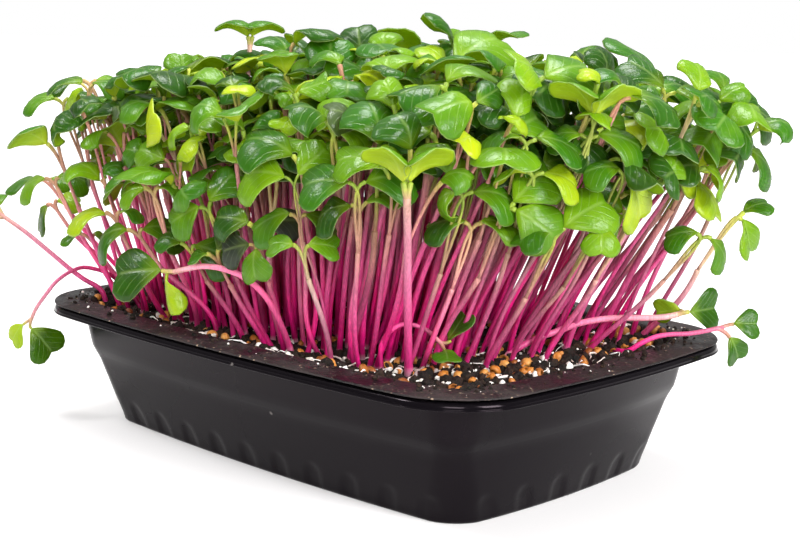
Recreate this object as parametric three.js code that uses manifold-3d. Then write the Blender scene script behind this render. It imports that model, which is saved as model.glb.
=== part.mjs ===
// A tray of radish microgreens: two nested black food trays, a bed of growing medium and a dense
// crop of pink-stemmed seedlings that lean outwards over the rim.
// Millimetres, +Z up. The origin is the centre of the outer tray's flat underside, and X runs
// along the long side of the tray.
import * as THREE from "three";
import { mergeVertices } from "three/addons/utils/BufferGeometryUtils.js";
import Module from "manifold-3d";

const wasm = await Module();
wasm.setup();

// Driving dimensions of the trays. Lengths and widths are measured at the corners, and each side
// bows outwards by its bow at the middle.
const RIM_LENGTH = 180;
const RIM_WIDTH = 125;
const RIM_CORNER = 19;
const RIM_BOW = 4.5;
const TRAY_HEIGHT = 39;
const FLANGE_WIDTH = 8.7;
const FLOOR_LENGTH = 147;
const FLOOR_WIDTH = 88;
const FLOOR_CORNER = 10;
const FLOOR_BOW = 3.3;
const FLOOR_EDGE = 1.1; // radius between the floor and the wall
const OUTER_RIM_Z = 37.9; // the outer tray's flange lies under the inner tray's
const LIP_DROP = 2.2; // how far the outer tray's lip hangs below its flange
const LIP_THICK = 0.9;
const LIP_PROUD = 0.3; // the outer tray's lip reaches past the inner tray's flange
const SHOULDER_Z = 23; // a stacking shoulder steps the wall in under the rim
const SHOULDER_DROP = 0.8;
const SHOULDER_STEP = 1.2;
const UPPER_WALL_TAPER = 2.9;
const OUTER_WALL = 1.2;
const INNER_WALL = 0.8;
const SHEET = 0.8; // thickness of a flange
const NEST_GAP = 0.4; // between the two trays
const FIT_GAP = 0.3; // between the medium and whatever it touches
const ARC_STEPS = 5; // straight steps round a quarter of an outline
const LONG_STEPS = 6; // along a long side
const SHORT_STEPS = 4; // along a short side

// Scallops pressed in round the foot of the wall, which stiffen it.
const FLUTE_PITCH = 13.6;
const FLUTE_WIDTH = 6.8;
const FLUTE_HEIGHT = 9.6;
const FLUTE_DEPTH = 0.8;

// Growing medium and the crop on it.
const MEDIUM_TOP = 35.2;
const MEDIUM_RISE = 2.4; // how far the medium climbs towards the tray's wall
const CROP_LEFT = -76; // the crop leaves a band of the medium bare at the right-hand end
const CROP_RIGHT = 50; // where it ends at the front corner; it reaches further along its back
const CROP_BACK_REACH = [0, 5, 11, 13]; // how much further, row by row from the front
const CROP_WIDTH = 90;
const COLUMNS = 6;
const ROWS = 4;
const MAT_THICK = 1;
const SEEDLINGS_ACROSS = 2; // a patch holds a square of this many by this many
const CANOPY_TOP = 118; // leaf height at the middle of the crop
const CANOPY_FALL_X = 5; // how much lower the leaves are at the ends
const CANOPY_FALL_Y = 8; // and at the long sides
const CANOPY_DEPTH = 24; // the layer that the leaves fill, downwards
const LEAN_LEFT = 22; // how far the outermost stems lean out
const LEAN_RIGHT = 46;
const LEAN_Y = 15;
const STEM_RADIUS = 1.0;
const STALK_RADIUS = 0.75; // of a leaf stalk
const LEAF_LENGTH = 14.5;
const LEAF_WIDTH = 15.5;
const LEAF_THICK = 0.8;
const LEAF_DROOP = 0.18; // how far a leaf's tip sags, as a share of its length
const TRIES = 18; // turns tried before a seedling is left out
const TRIES_FOR_BOTH = 13; // after this many it may give up a leaf
const TURN_PER_TRY = 0.7;
const DROP_PER_TRY = 0.9;

const root = new THREE.Group();

// A repeatable number from 0 to 1 for item i and use k.
function chance(i, k) {
  const s = Math.sin(i * 12.9898 + k * 78.233) * 43758.5453;
  return s - Math.floor(s);
}

const between = (i, k, low, high) => low + (high - low) * chance(i, k);

// ---------------------------------------------------------------- solids and geometry

function solidOf(geometry) {
  const bare = geometry.clone();
  bare.deleteAttribute("normal");
  bare.deleteAttribute("uv");
  const merged = mergeVertices(bare, 1e-4);
  return new wasm.Manifold(
    new wasm.Mesh({
      numProp: 3,
      vertProperties: merged.attributes.position.array,
      triVerts: new Uint32Array(merged.index.array),
    }),
  );
}

function geometryOf(solid) {
  const mesh = solid.getMesh();
  const geometry = new THREE.BufferGeometry();
  geometry.setAttribute("position", new THREE.BufferAttribute(mesh.vertProperties, 3));
  geometry.setIndex(new THREE.BufferAttribute(mesh.triVerts, 1));
  geometry.computeVertexNormals();
  return geometry;
}

function addMesh(name, geometry, { color, roughness }) {
  const material = new THREE.MeshStandardMaterial({ color, roughness, metalness: 0 });
  const mesh = new THREE.Mesh(geometry, material);
  mesh.name = name;
  root.add(mesh);
}

const FINISH = {
  outerTray: { color: 0x26242a, roughness: 0.3 },
  innerTray: { color: 0x4a4342, roughness: 0.65 },
  medium: { color: 0x2e211b, roughness: 0.95 },
  crop: { color: 0x4f9a2f, roughness: 0.5 },
  stem: { color: 0xc2186f, roughness: 0.45 },
  paleStem: { color: 0xd9a79c, roughness: 0.45 },
  leaf: { color: 0x3f8a2c, roughness: 0.45 },
  hull: { color: 0xc0762e, roughness: 0.6 },
  perlite: { color: 0xf0ece6, roughness: 0.9 },
};

// ---------------------------------------------------------------- the two trays

// A rounded rectangle whose sides bow outwards, as points counter-clockwise seen from above.
function outline({ length, width, corner, bow }) {
  const halfLength = length / 2;
  const halfWidth = width / 2;
  const points = [];
  const corners = [
    [1, 1, LONG_STEPS],
    [-1, 1, SHORT_STEPS],
    [-1, -1, LONG_STEPS],
    [1, -1, SHORT_STEPS],
  ];
  corners.forEach(([sx, sy], quarter) => {
    const centre = new THREE.Vector2(sx * (halfLength - corner), sy * (halfWidth - corner));
    for (let i = 0; i <= ARC_STEPS; i += 1) {
      const angle = ((quarter + i / ARC_STEPS) * Math.PI) / 2;
      const spoke = new THREE.Vector2(Math.cos(angle), Math.sin(angle));
      points.push(spoke.multiplyScalar(corner).add(centre));
    }
  });
  const arc = ARC_STEPS + 1;
  const closed = [];
  corners.forEach(([, , steps], quarter) => {
    closed.push(...points.slice(quarter * arc, (quarter + 1) * arc));
    const from = points[quarter * arc + ARC_STEPS];
    const to = points[((quarter + 1) % 4) * arc];
    for (let i = 1; i < steps; i += 1) closed.push(from.clone().lerp(to, i / steps));
  });
  return closed.map(({ x, y }) => {
    const outX = Math.sign(x) * (x / halfLength) ** 4 * (1 - (y / halfWidth) ** 2);
    const outY = Math.sign(y) * (y / halfWidth) ** 4 * (1 - (x / halfLength) ** 2);
    return new THREE.Vector2(x + bow * outX, y + bow * outY);
  });
}

// One closed skin through a list of sections, each a plan and a height, with both ends capped.
function loft(sections) {
  const rings = sections.map((section) => outline(section));
  const count = rings[0].length;
  const positions = [];
  rings.forEach((ring, level) => {
    ring.forEach((p) => positions.push(p.x, p.y, sections[level].z));
  });
  const index = [];
  for (let level = 0; level < rings.length - 1; level += 1) {
    for (let i = 0; i < count; i += 1) {
      const a = level * count + i;
      const b = level * count + ((i + 1) % count);
      index.push(a, b, b + count, a, b + count, a + count);
    }
  }
  const last = (rings.length - 1) * count;
  const bottom = positions.length / 3;
  positions.push(0, 0, sections[0].z);
  positions.push(0, 0, sections[sections.length - 1].z);
  for (let i = 0; i < count; i += 1) {
    const next = (i + 1) % count;
    index.push(bottom, next, i);
    index.push(bottom + 1, last + i, last + next);
  }
  const geometry = new THREE.BufferGeometry();
  geometry.setAttribute("position", new THREE.Float32BufferAttribute(positions, 3));
  geometry.setIndex(index);
  return geometry;
}

// A plan moved inwards all round by a distance.
function inset(plan, distance) {
  return {
    z: plan.z,
    length: plan.length - 2 * distance,
    width: plan.width - 2 * distance,
    corner: Math.max(plan.corner - distance, 2),
    bow: plan.bow,
  };
}

const lifted = (plan, rise) => ({ ...plan, z: plan.z + rise });

const rimPlan = {
  z: OUTER_RIM_Z,
  length: RIM_LENGTH,
  width: RIM_WIDTH,
  corner: RIM_CORNER,
  bow: RIM_BOW,
};
const floorPlan = {
  z: FLOOR_EDGE,
  length: FLOOR_LENGTH,
  width: FLOOR_WIDTH,
  corner: FLOOR_CORNER,
  bow: FLOOR_BOW,
};
const wallTop = { ...inset(rimPlan, FLANGE_WIDTH), z: OUTER_RIM_Z - SHEET };
const shoulderTop = { ...inset(wallTop, UPPER_WALL_TAPER), z: SHOULDER_Z };
const shoulderFoot = {
  ...inset(shoulderTop, SHOULDER_STEP),
  z: SHOULDER_Z - SHOULDER_DROP,
};
const foot = { ...inset(floorPlan, FLOOR_EDGE), z: 0 };
const wall = [foot, floorPlan, shoulderFoot, shoulderTop, wallTop];

// The outer tray's wall between the floor edge and the shoulder, at a height.
function wallPlan(z) {
  const t = (z - floorPlan.z) / (shoulderFoot.z - floorPlan.z);
  const mix = (key) => THREE.MathUtils.lerp(floorPlan[key], shoulderFoot[key], t);
  return { z, length: mix("length"), width: mix("width"), corner: mix("corner"), bow: mix("bow") };
}

// The outline of the wall at a height, as a closed curve.
function wallCurve(z) {
  const points = outline(wallPlan(z)).map((p) => new THREE.Vector3(p.x, p.y, z));
  return new THREE.CatmullRomCurve3(points, true, "centripetal");
}

// Cuts the scallops: each cutter is a six-sided cone without its tip, which stands at the foot of
// the wall, leans with it and points one of its edges into it.
function fluted(solid) {
  const low = wallCurve(FLOOR_EDGE);
  const high = wallCurve(FLOOR_EDGE + FLUTE_HEIGHT);
  const count = Math.round(low.getLength() / FLUTE_PITCH);
  let cut = solid;
  for (let i = 0; i < count; i += 1) {
    const at = low.getPointAt(i / count);
    const along = low.getTangentAt(i / count);
    const up = high.getPointAt(i / count).sub(at).normalize();
    const inwards = up.clone().cross(along).normalize();
    const cutter = new THREE.CylinderGeometry(0.45, 1, 1, 6);
    cutter.translate(0, 0.5, 0);
    cutter.rotateX(Math.PI / 2);
    cutter.scale(FLUTE_WIDTH / 2, FLUTE_DEPTH, FLUTE_HEIGHT);
    cutter.applyMatrix4(new THREE.Matrix4().makeBasis(along, inwards, up).setPosition(at));
    cut = cut.subtract(solidOf(cutter));
  }
  return cut;
}

function outerTray() {
  const lip = inset(rimPlan, -LIP_PROUD);
  const lipInside = inset(lip, LIP_THICK);
  const inside = wall.slice(1).reverse();
  return loft([
    ...wall,
    { ...lipInside, z: OUTER_RIM_Z - SHEET },
    { ...lipInside, z: OUTER_RIM_Z - LIP_DROP },
    { ...lip, z: OUTER_RIM_Z - LIP_DROP },
    { ...lip, z: OUTER_RIM_Z - SHEET / 2 },
    { ...inset(lip, SHEET / 2), z: OUTER_RIM_Z },
    { ...inset(wallTop, OUTER_WALL), z: OUTER_RIM_Z },
    ...inside.slice(1).map((plan) => inset(plan, OUTER_WALL)),
    { ...inset(floorPlan, OUTER_WALL + FLOOR_EDGE), z: OUTER_WALL },
  ]);
}

const nestInset = OUTER_WALL + NEST_GAP;
const insideInset = nestInset + INNER_WALL;

function innerTray() {
  const flangeOut = inset(rimPlan, 0);
  const outside = wall.slice(1).map((plan) => lifted(inset(plan, nestInset), NEST_GAP));
  const inside = wall.slice(1).map((plan) => lifted(inset(plan, insideInset), NEST_GAP));
  const floorUnder = OUTER_WALL + NEST_GAP;
  return loft([
    { ...inset(floorPlan, nestInset + FLOOR_EDGE), z: floorUnder },
    { ...outside[0], z: floorUnder + FLOOR_EDGE },
    ...outside.slice(1, -1),
    { ...outside[outside.length - 1], z: TRAY_HEIGHT - SHEET },
    { ...flangeOut, z: TRAY_HEIGHT - SHEET },
    { ...flangeOut, z: TRAY_HEIGHT - SHEET / 2 },
    { ...inset(flangeOut, SHEET / 2), z: TRAY_HEIGHT },
    { ...inset(inside[inside.length - 1], -SHEET), z: TRAY_HEIGHT },
    { ...inside[inside.length - 1], z: TRAY_HEIGHT - SHEET },
    ...inside.slice(1, -1).reverse(),
    { ...inside[0], z: floorUnder + INNER_WALL + FLOOR_EDGE },
    { ...inset(inside[0], FLOOR_EDGE), z: floorUnder + INNER_WALL },
  ]);
}

addMesh("outer_tray", geometryOf(fluted(solidOf(outerTray()))), FINISH.outerTray);
addMesh("inner_tray", innerTray(), FINISH.innerTray);

// ---------------------------------------------------------------- growing medium

const mediumInset = insideInset + FIT_GAP;
const mediumFloor = OUTER_WALL + NEST_GAP + INNER_WALL + FIT_GAP;

function growingMedium() {
  const sides = wall.slice(1, 4).map((plan) => lifted(inset(plan, mediumInset), NEST_GAP));
  const edge = { ...inset(wallTop, mediumInset + 0.2), z: MEDIUM_TOP + MEDIUM_RISE };
  return loft([
    { ...inset(sides[0], FLOOR_EDGE), z: mediumFloor },
    { ...sides[0], z: mediumFloor + FLOOR_EDGE },
    ...sides.slice(1),
    edge,
    { ...inset(edge, 2.5), z: MEDIUM_TOP + MEDIUM_RISE * 0.8 },
    { ...inset(edge, 5.2), z: MEDIUM_TOP },
  ]);
}

// ---------------------------------------------------------------- parts of a seedling

// A tube of a few flat sides carried along a smooth curve through points.
function tube(points, radius, sides, steps) {
  const section = new THREE.Shape();
  for (let i = 0; i < sides; i += 1) {
    const angle = (i / sides) * 2 * Math.PI;
    const move = i === 0 ? "moveTo" : "lineTo";
    section[move](radius * Math.cos(angle), radius * Math.sin(angle));
  }
  section.closePath();
  return new THREE.ExtrudeGeometry(section, {
    steps,
    bevelEnabled: false,
    extrudePath: new THREE.CatmullRomCurve3(points),
  });
}

// A seed leaf is a heart with its point at the stalk and a notch at its tip, as a thin plate.
// It runs along X, folds down from its midrib, droops towards the tip and turns about X. Outlines are in
// shares of the length and the width.
const PLAIN_SEED_LEAF = [
  [0.34, -0.5],
  [0.94, -0.4],
  [0.84, 0],
  [0.94, 0.4],
  [0.34, 0.5],
];
const FINE_SEED_LEAF = [
  [0, 0.03],
  [0.1, 0.28],
  [0.34, 0.48],
  [0.68, 0.5],
  [0.95, 0.34],
  [1, 0.14],
  [0.87, 0],
  [1, -0.14],
  [0.95, -0.34],
  [0.68, -0.5],
  [0.34, -0.48],
  [0.1, -0.28],
  [0, -0.03],
];

// Height of a leaf's middle surface over the plane that it starts in.
const leafSag = (x, y, length, fold) => -fold * Math.abs(y) - (LEAF_DROOP * x * x) / length;

function leafPlate({ at, yaw, pitch, turn, size, fold }) {
  const length = LEAF_LENGTH * size;
  const width = LEAF_WIDTH * size;
  const corners = FINE_SEED_LEAF.map(([x, y]) => new THREE.Vector2(x * length, y * width));
  const shape = new THREE.Shape(corners);
  const plate = new THREE.ExtrudeGeometry(shape, { depth: LEAF_THICK, bevelEnabled: false });
  const position = plate.attributes.position;
  for (let i = 0; i < position.count; i += 1) {
    const sag = leafSag(position.getX(i), position.getY(i), length, fold);
    position.setZ(i, position.getZ(i) - LEAF_THICK / 2 + sag);
  }
  plate.rotateX(turn);
  plate.rotateY(-pitch);
  plate.rotateZ(yaw);
  plate.translate(at.x, at.y, at.z);
  return plate;
}

// A three-sided stalk through points that widens into a plain seed leaf at its end, as one skin.
// Each section has a left, a right and a lower corner, and the leaf grows from the last one.
function sprig({ path, radii, yaw, pitch, size, fold }) {
  const positions = [];
  const index = [];
  const push = (v) => positions.push(v.x, v.y, v.z) / 3 - 1;
  const sideways = new THREE.Vector3(-Math.sin(yaw), Math.cos(yaw), 0);
  const last = path.length - 1;
  path.forEach((centre, i) => {
    const along = path[Math.min(i + 1, last)].clone().sub(path[Math.max(i - 1, 0)]).normalize();
    const up = along.clone().cross(sideways).normalize();
    const left = up.clone().cross(along);
    const corner = (l, u) =>
      centre.clone().addScaledVector(left, l * radii[i]).addScaledVector(up, u * radii[i]);
    [corner(0.87, 0.5), corner(-0.87, 0.5), corner(0, -1)].forEach(push);
  });
  index.push(0, 2, 1);
  for (let i = 0; i < last; i += 1) {
    for (let k = 0; k < 3; k += 1) {
      const p = 3 * i + k;
      const q = 3 * i + ((k + 1) % 3);
      index.push(p, q, q + 3, p, q + 3, p + 3);
    }
  }
  const forwards = new THREE.Vector3(
    Math.cos(yaw) * Math.cos(pitch),
    Math.sin(yaw) * Math.cos(pitch),
    Math.sin(pitch),
  );
  const normal = forwards.clone().cross(sideways);
  const length = LEAF_LENGTH * size;
  const width = LEAF_WIDTH * size;
  const edge = PLAIN_SEED_LEAF.map(([x, y]) => {
    const sag = leafSag(x * length, y * width, length, fold);
    const point = path[last].clone();
    point.addScaledVector(forwards, x * length);
    point.addScaledVector(sideways, y * width);
    const top = push(point.clone().addScaledVector(normal, sag + LEAF_THICK / 2));
    const under = push(point.addScaledVector(normal, sag - LEAF_THICK / 2));
    return { top, under };
  });
  const a = 3 * last;
  const b = a + 1;
  const c = a + 2;
  const [right, rightTip, notch, leftTip, left] = edge;
  index.push(a, b, notch.top, b, right.top, rightTip.top, b, rightTip.top, notch.top);
  index.push(a, notch.top, leftTip.top, a, leftTip.top, left.top);
  for (let i = 0; i < edge.length - 1; i += 1) index.push(c, edge[i + 1].under, edge[i].under);
  const rim = [{ top: b, under: c }, ...edge, { top: a, under: c }];
  for (let i = 0; i < rim.length - 1; i += 1) {
    const p = rim[i];
    const q = rim[i + 1];
    if (p.under !== q.under) index.push(p.top, p.under, q.under);
    index.push(p.top, q.under, q.top);
  }
  const geometry = new THREE.BufferGeometry();
  geometry.setAttribute("position", new THREE.Float32BufferAttribute(positions, 3));
  geometry.setIndex(index);
  return geometry;
}

// ---------------------------------------------------------------- seedlings that stand apart

// The seedlings that lie over the medium, hang past the rim or stand clear of the crop. Each has
// a stem through hand-placed points and two seed leaves at the end of it.
const deg = THREE.MathUtils.degToRad;
const HEIGHT_OVER_MAT = MEDIUM_TOP + FIT_GAP;
const LONERS = [
  {
    name: "arched_front",
    finish: FINISH.paleStem,
    radius: 1.1,
    path: [
      [12.6, -45.2, 0], [11.8, -48.6, 8.5], [10.1, -53, 17], [6.1, -57, 22.2],
      [-0.3, -60, 24.3], [-7, -61.6, 24.2], [-13.3, -62.5, 22.6], [-18.1, -63, 21.2],
    ],
    leaves: [
      { at: [-20.4, -65.2, 20.4], yaw: 228, pitch: -42, turn: -52, size: 1.05, fold: 0.35 },
      { at: [-22.6, -60.2, 24.4], yaw: 216, pitch: -26, turn: -50, size: 1.0, fold: 0.25 },
    ],
  },
  {
    name: "small_arch",
    finish: FINISH.stem,
    radius: 0.75,
    path: [[43, -41, 0], [42.4, -40, 8], [45, -36, 12.5], [49, -31, 11.5], [53, -28, 7.5]],
    leaves: [
      { at: [54.4, -26.6, 8], yaw: 75, pitch: 60, turn: 0, size: 0.72, fold: 0.4 },
      { at: [54.8, -28.8, 6], yaw: 320, pitch: 0, turn: 0, size: 0.55, fold: 0.3 },
    ],
  },
  {
    name: "lying_front",
    finish: FINISH.paleStem,
    radius: 1.1,
    path: [
      [53, -1.5, 0], [56.5, 6, 4], [60.8, 13.7, 6.8], [65.2, 18.6, 9.1],
      [71, 24.6, 10.5], [77.6, 30.7, 10.8], [82.1, 34.5, 11.3], [84.6, 37.6, 12.1],
    ],
    leaves: [
      { at: [87, 38.2, 13], yaw: 62, pitch: 4, turn: 78, size: 0.85, fold: 0.45 },
      { at: [83.4, 41, 12.4], yaw: 192, pitch: 0, turn: 65, size: 0.62, fold: 0.3 },
    ],
  },
  {
    name: "lying_right",
    finish: FINISH.stem,
    radius: 0.8,
    path: [
      [69.7, 26.9, 0], [73.2, 24, 1.5], [76.8, 24.4, 1.9], [79.6, 26.4, 4.2],
      [82.2, 29.4, 6.1], [85, 32.8, 6.9], [89.3, 37.7, 7.3], [94.8, 45.2, 8.9],
    ],
    leaves: [
      { at: [96.4, 47.2, 9.8], yaw: 43, pitch: 4, turn: 58, size: 0.62, fold: 0.35 },
      { at: [96.6, 45.4, 6.6], yaw: 43, pitch: -58, turn: 58, size: 0.66, fold: 0.35 },
    ],
  },
  {
    name: "leaning_left",
    finish: FINISH.paleStem,
    radius: 0.9,
    path: [
      [-77.6, -43, 0], [-79, -44.3, 5.2], [-83.5, -47.4, 8.2], [-88, -50.2, 11.6],
      [-94.5, -52.5, 15.9], [-105.5, -55, 21.8], [-118, -56.5, 26.4],
    ],
    leaves: [
      { at: [-118.6, -58.8, 24.6], yaw: 238, pitch: -28, turn: 0, size: 0.75, fold: 0.4 },
      { at: [-120.2, -55.4, 28.2], yaw: 172, pitch: 30, turn: 0, size: 0.75, fold: 0.4 },
    ],
  },
  {
    name: "hanging_left",
    finish: FINISH.stem,
    radius: 0.75,
    path: [
      [-77.2, -33, 0], [-81, -38, 8.4], [-84, -45.6, 11.8], [-83.4, -52, 11.6],
      [-82.2, -58.6, 9.2], [-83, -62, 5.4], [-86.2, -63.8, 0.4], [-88.4, -64.2, -3.4],
    ],
    leaves: [
      { at: [-89.8, -66, -4.8], yaw: 223, pitch: -48, turn: -58, size: 0.62, fold: 0.35 },
      { at: [-87.4, -65.4, -5.6], yaw: 43, pitch: -46, turn: 58, size: 0.92, fold: 0.3 },
    ],
  },
  {
    name: "tall_middle",
    finish: FINISH.paleStem,
    radius: 0.9,
    path: [[-36, -24, 0], [-35, -23.5, 45], [-33, -22, 84.2]],
    leaves: [
      { at: [-31.2, -20.4, 86.2], yaw: 43, pitch: 38, turn: 0, size: 0.9, fold: 0.2 },
      { at: [-34.8, -23.6, 86.2], yaw: 223, pitch: 38, turn: 0, size: 0.9, fold: 0.2 },
    ],
  },
  {
    name: "big_front",
    finish: FINISH.paleStem,
    radius: 1.4,
    path: [[50.4, -38, 0], [54.5, -43.5, 20], [59.5, -49.5, 38], [64.5, -55.5, 50]],
    leaves: [
      { at: [66.6, -53.4, 52.8], yaw: 43, pitch: 40, turn: 0, size: 1.1, fold: 0.2 },
      { at: [62.6, -57.6, 52.8], yaw: 223, pitch: 40, turn: 0, size: 1.1, fold: 0.2 },
    ],
  },
];

const clearZones = []; // solids that the crop keeps off, a little fatter than the pieces

function addLoner({ name, finish, radius, path, leaves }) {
  const points = path.map(([x, y, up]) => new THREE.Vector3(x, y, HEIGHT_OVER_MAT + up));
  const steps = 2 * (path.length - 1);
  addMesh(`${name}_stem`, tube(points, radius, 5, steps), finish);
  clearZones.push(solidOf(tube(points, radius + 0.5, 5, steps)));
  leaves.forEach((one, i) => {
    const at = new THREE.Vector3(one.at[0], one.at[1], HEIGHT_OVER_MAT + one.at[2]);
    const [yaw, pitch, turn] = [one.yaw, one.pitch, one.turn].map(deg);
    const plate = leafPlate({ ...one, at, yaw, pitch, turn });
    addMesh(`${name}_leaf_${i + 1}`, plate, FINISH.leaf);
    clearZones.push(solidOf(plate));
  });
}

LONERS.forEach(addLoner);

// The lone seedlings root in dimples of the medium. Root mats keep off the medium's raised edge.
const wholeBed = solidOf(growingMedium());
const dimpled = clearZones.reduce((bed, zone) => bed.subtract(zone), wholeBed);
const bedWithGap = wholeBed.translate([0, 0, FIT_GAP - 0.01]);
addMesh("growing_medium", geometryOf(dimpled), FINISH.medium);

// ---------------------------------------------------------------- the crop in patches

const CROP_LENGTH = CROP_RIGHT - CROP_LEFT;
const CROP_CENTRE = (CROP_RIGHT + CROP_LEFT) / 2;

// Where a stem starts in the crop: -1 to 1 from the left end to the right, and from side to side.
const shareX = (x) => (x - CROP_CENTRE) / (CROP_LENGTH / 2);
const shareY = (y) => y / (CROP_WIDTH / 2);

// How far a stem that starts at (x, y) leans out by the time it reaches its leaves.
function lean(x, y) {
  const endwards = shareX(x) > 0 ? LEAN_RIGHT : -LEAN_LEFT;
  const sidewards = Math.sign(y) * LEAN_Y;
  const end = Math.min(Math.abs(shareX(x)), 1);
  return new THREE.Vector2(endwards * end ** 2, sidewards * shareY(y) ** 2);
}

const canopyHeight = (x, y) =>
  CANOPY_TOP - CANOPY_FALL_X * shareX(x) ** 2 - CANOPY_FALL_Y * shareY(y) ** 2;

// One seedling: the stem runs on into its first leaf stalk, and the second leaves at the fork.
function seedlingSprigs(id, base, attempt) {
  const out = lean(base.x, base.y);
  const drop = between(id, 3, 0, CANOPY_DEPTH) + attempt * DROP_PER_TRY;
  const leafZ = canopyHeight(base.x, base.y) - drop;
  const stalkRise = between(id, 4, 15, 22);
  const spread = between(id, 5, 4, 7.5);
  const yaw = between(id, 6, 0, 2 * Math.PI) + attempt * TURN_PER_TRY;
  const share = (leafZ - stalkRise - MEDIUM_TOP) / (leafZ - MEDIUM_TOP);
  const fork = new THREE.Vector3(
    base.x + out.x * share,
    base.y + out.y * share,
    leafZ - stalkRise,
  );
  const middle = new THREE.Vector3(
    base.x + out.x * 0.28 + between(id, 7, -1, 1),
    base.y + out.y * 0.28 + between(id, 8, -1, 1),
    THREE.MathUtils.lerp(base.z, fork.z, 0.5),
  );
  const collar = base.clone().add(new THREE.Vector3(0, 0, MAT_THICK));
  const starts = [[base, collar, middle, fork], [fork.clone().lerp(middle, 0.04)]];
  const stemRadii = [1.1, 1, 0.95, 0.85].map((share) => share * STEM_RADIUS);
  const startRadii = [stemRadii, [STALK_RADIUS / 2]];
  return starts.map((start, side) => {
    const turn = yaw + side * between(id, 9, 2.5, 3.7);
    const end = new THREE.Vector3(
      fork.x + out.x * (1 - share) + spread * Math.cos(turn),
      fork.y + out.y * (1 - share) + spread * Math.sin(turn),
      leafZ + between(id, 10 + side, -2, 2),
    );
    return solidOf(
      sprig({
        path: [...start, end],
        radii: [...startRadii[side], STALK_RADIUS * 0.9],
        yaw: turn,
        pitch: between(id, 12 + side, -0.5, 0.35),
        size: between(id, 14 + side, 0.72, 1.1),
        fold: between(id, 16 + side, 0.05, 0.4),
      }),
    );
  });
}

function boxesMeet(a, b) {
  const one = a.boundingBox();
  const two = b.boundingBox();
  return [0, 1, 2].every((k) => one.min[k] <= two.max[k] && two.min[k] <= one.max[k]);
}

const isClear = (solid, others) =>
  others.every((other) => !boxesMeet(solid, other) || solid.intersect(other).isEmpty());

// The patch of matted roots that a group of seedlings grows from.
function rootMat(id, centre, sizeX, sizeY) {
  const cut = 3.5;
  const halfX = sizeX / 2 - FIT_GAP;
  const halfY = sizeY / 2 - FIT_GAP;
  const corners = [
    [halfX, cut - halfY],
    [halfX, halfY - cut],
    [halfX - cut, halfY],
    [cut - halfX, halfY],
    [-halfX, halfY - cut],
    [-halfX, cut - halfY],
    [cut - halfX, -halfY],
    [halfX - cut, -halfY],
  ];
  const points = corners.map(([x, y], i) => {
    const shrink = between(id, 40 + i, 0.9, 1);
    return new THREE.Vector2(centre.x + x * shrink, centre.y + y * shrink);
  });
  const plate = new THREE.ExtrudeGeometry(new THREE.Shape(points), {
    depth: MAT_THICK,
    bevelEnabled: false,
  });
  plate.translate(0, 0, HEIGHT_OVER_MAT);
  return solidOf(plate);
}

function largestBody(solid) {
  const bodies = solid.decompose();
  bodies.sort((a, b) => b.volume() - a.volume());
  return bodies[0];
}

const patches = [];

function addPatch(row, column) {
  const sizeX = (CROP_LENGTH + CROP_BACK_REACH[row]) / COLUMNS;
  const sizeY = CROP_WIDTH / ROWS;
  const centre = new THREE.Vector2(
    CROP_LEFT + (column + 0.5) * sizeX,
    (row + 0.5) * sizeY - CROP_WIDTH / 2,
  );
  const patchId = row * COLUMNS + column;
  let patch = rootMat(patchId, centre, sizeX, sizeY).subtract(bedWithGap);
  clearZones.filter((zone) => boxesMeet(zone, patch)).forEach((zone) => {
    patch = patch.subtract(zone);
  });
  const others = [...clearZones, ...patches];
  const seedlings = [];
  for (let place = 0; place < SEEDLINGS_ACROSS ** 2; place += 1) {
    const id = 310 + patchId * SEEDLINGS_ACROSS ** 2 + place;
    const across = (place % SEEDLINGS_ACROSS) + 0.5 + between(id, 1, -0.22, 0.22);
    const along = Math.floor(place / SEEDLINGS_ACROSS) + 0.5 + between(id, 2, -0.22, 0.22);
    const base = new THREE.Vector3(
      centre.x + (across / SEEDLINGS_ACROSS - 0.5) * sizeX,
      centre.y + (along / SEEDLINGS_ACROSS - 0.5) * sizeY,
      HEIGHT_OVER_MAT + MAT_THICK / 2,
    );
    for (let attempt = 0; attempt < TRIES; attempt += 1) {
      const [main, second] = seedlingSprigs(id, base, attempt);
      const both = isClear(second, others);
      if (isClear(main, others) && (both || attempt >= TRIES_FOR_BOTH)) {
        const seedling = both ? main.add(second) : main;
        seedlings.push(seedling);
        others.push(seedling);
        break;
      }
    }
  }
  patch = largestBody(seedlings.reduce((sum, one) => sum.add(one), patch));
  patches.push(patch);
  addMesh(`sprouts_${row + 1}_${column + 1}`, geometryOf(patch), FINISH.crop);
}

for (let row = 0; row < ROWS; row += 1) {
  for (let column = 0; column < COLUMNS; column += 1) addPatch(row, column);
}

// ---------------------------------------------------------------- seed hulls and perlite

// A small grain that lies on the medium: a stretched ball, turned about the vertical.
function grain(radius, [x, y], squash, turn, lift) {
  const ball = new THREE.IcosahedronGeometry(radius, 0);
  ball.scale(1.2, 0.95, squash);
  ball.rotateZ(turn);
  ball.translate(x, y, lift + radius * squash);
  return ball;
}

const HULL_RADIUS = 1.5;
const HULLS = [
  [68.8, -32.5],
  [73, -28],
  [66.4, 11.8],
  [71.5, 36.4],
  [17, -47.4],
  [-30, -47.3],
];
const PERLITE_RADIUS = 1.1;
const PERLITE = [
  [-6.3, -47],
  [30, -47.2],
  [67, -12],
];

HULLS.forEach((at, i) => {
  const ball = grain(HULL_RADIUS, at, 0.75, i * 1.3, HEIGHT_OVER_MAT);
  addMesh(`seed_hull_${i + 1}`, ball, FINISH.hull);
});
PERLITE.forEach((at, i) => {
  const ball = grain(PERLITE_RADIUS, at, 0.9, i * 0.9, HEIGHT_OVER_MAT);
  addMesh(`perlite_${i + 1}`, ball, FINISH.perlite);
});

export default root;
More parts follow.
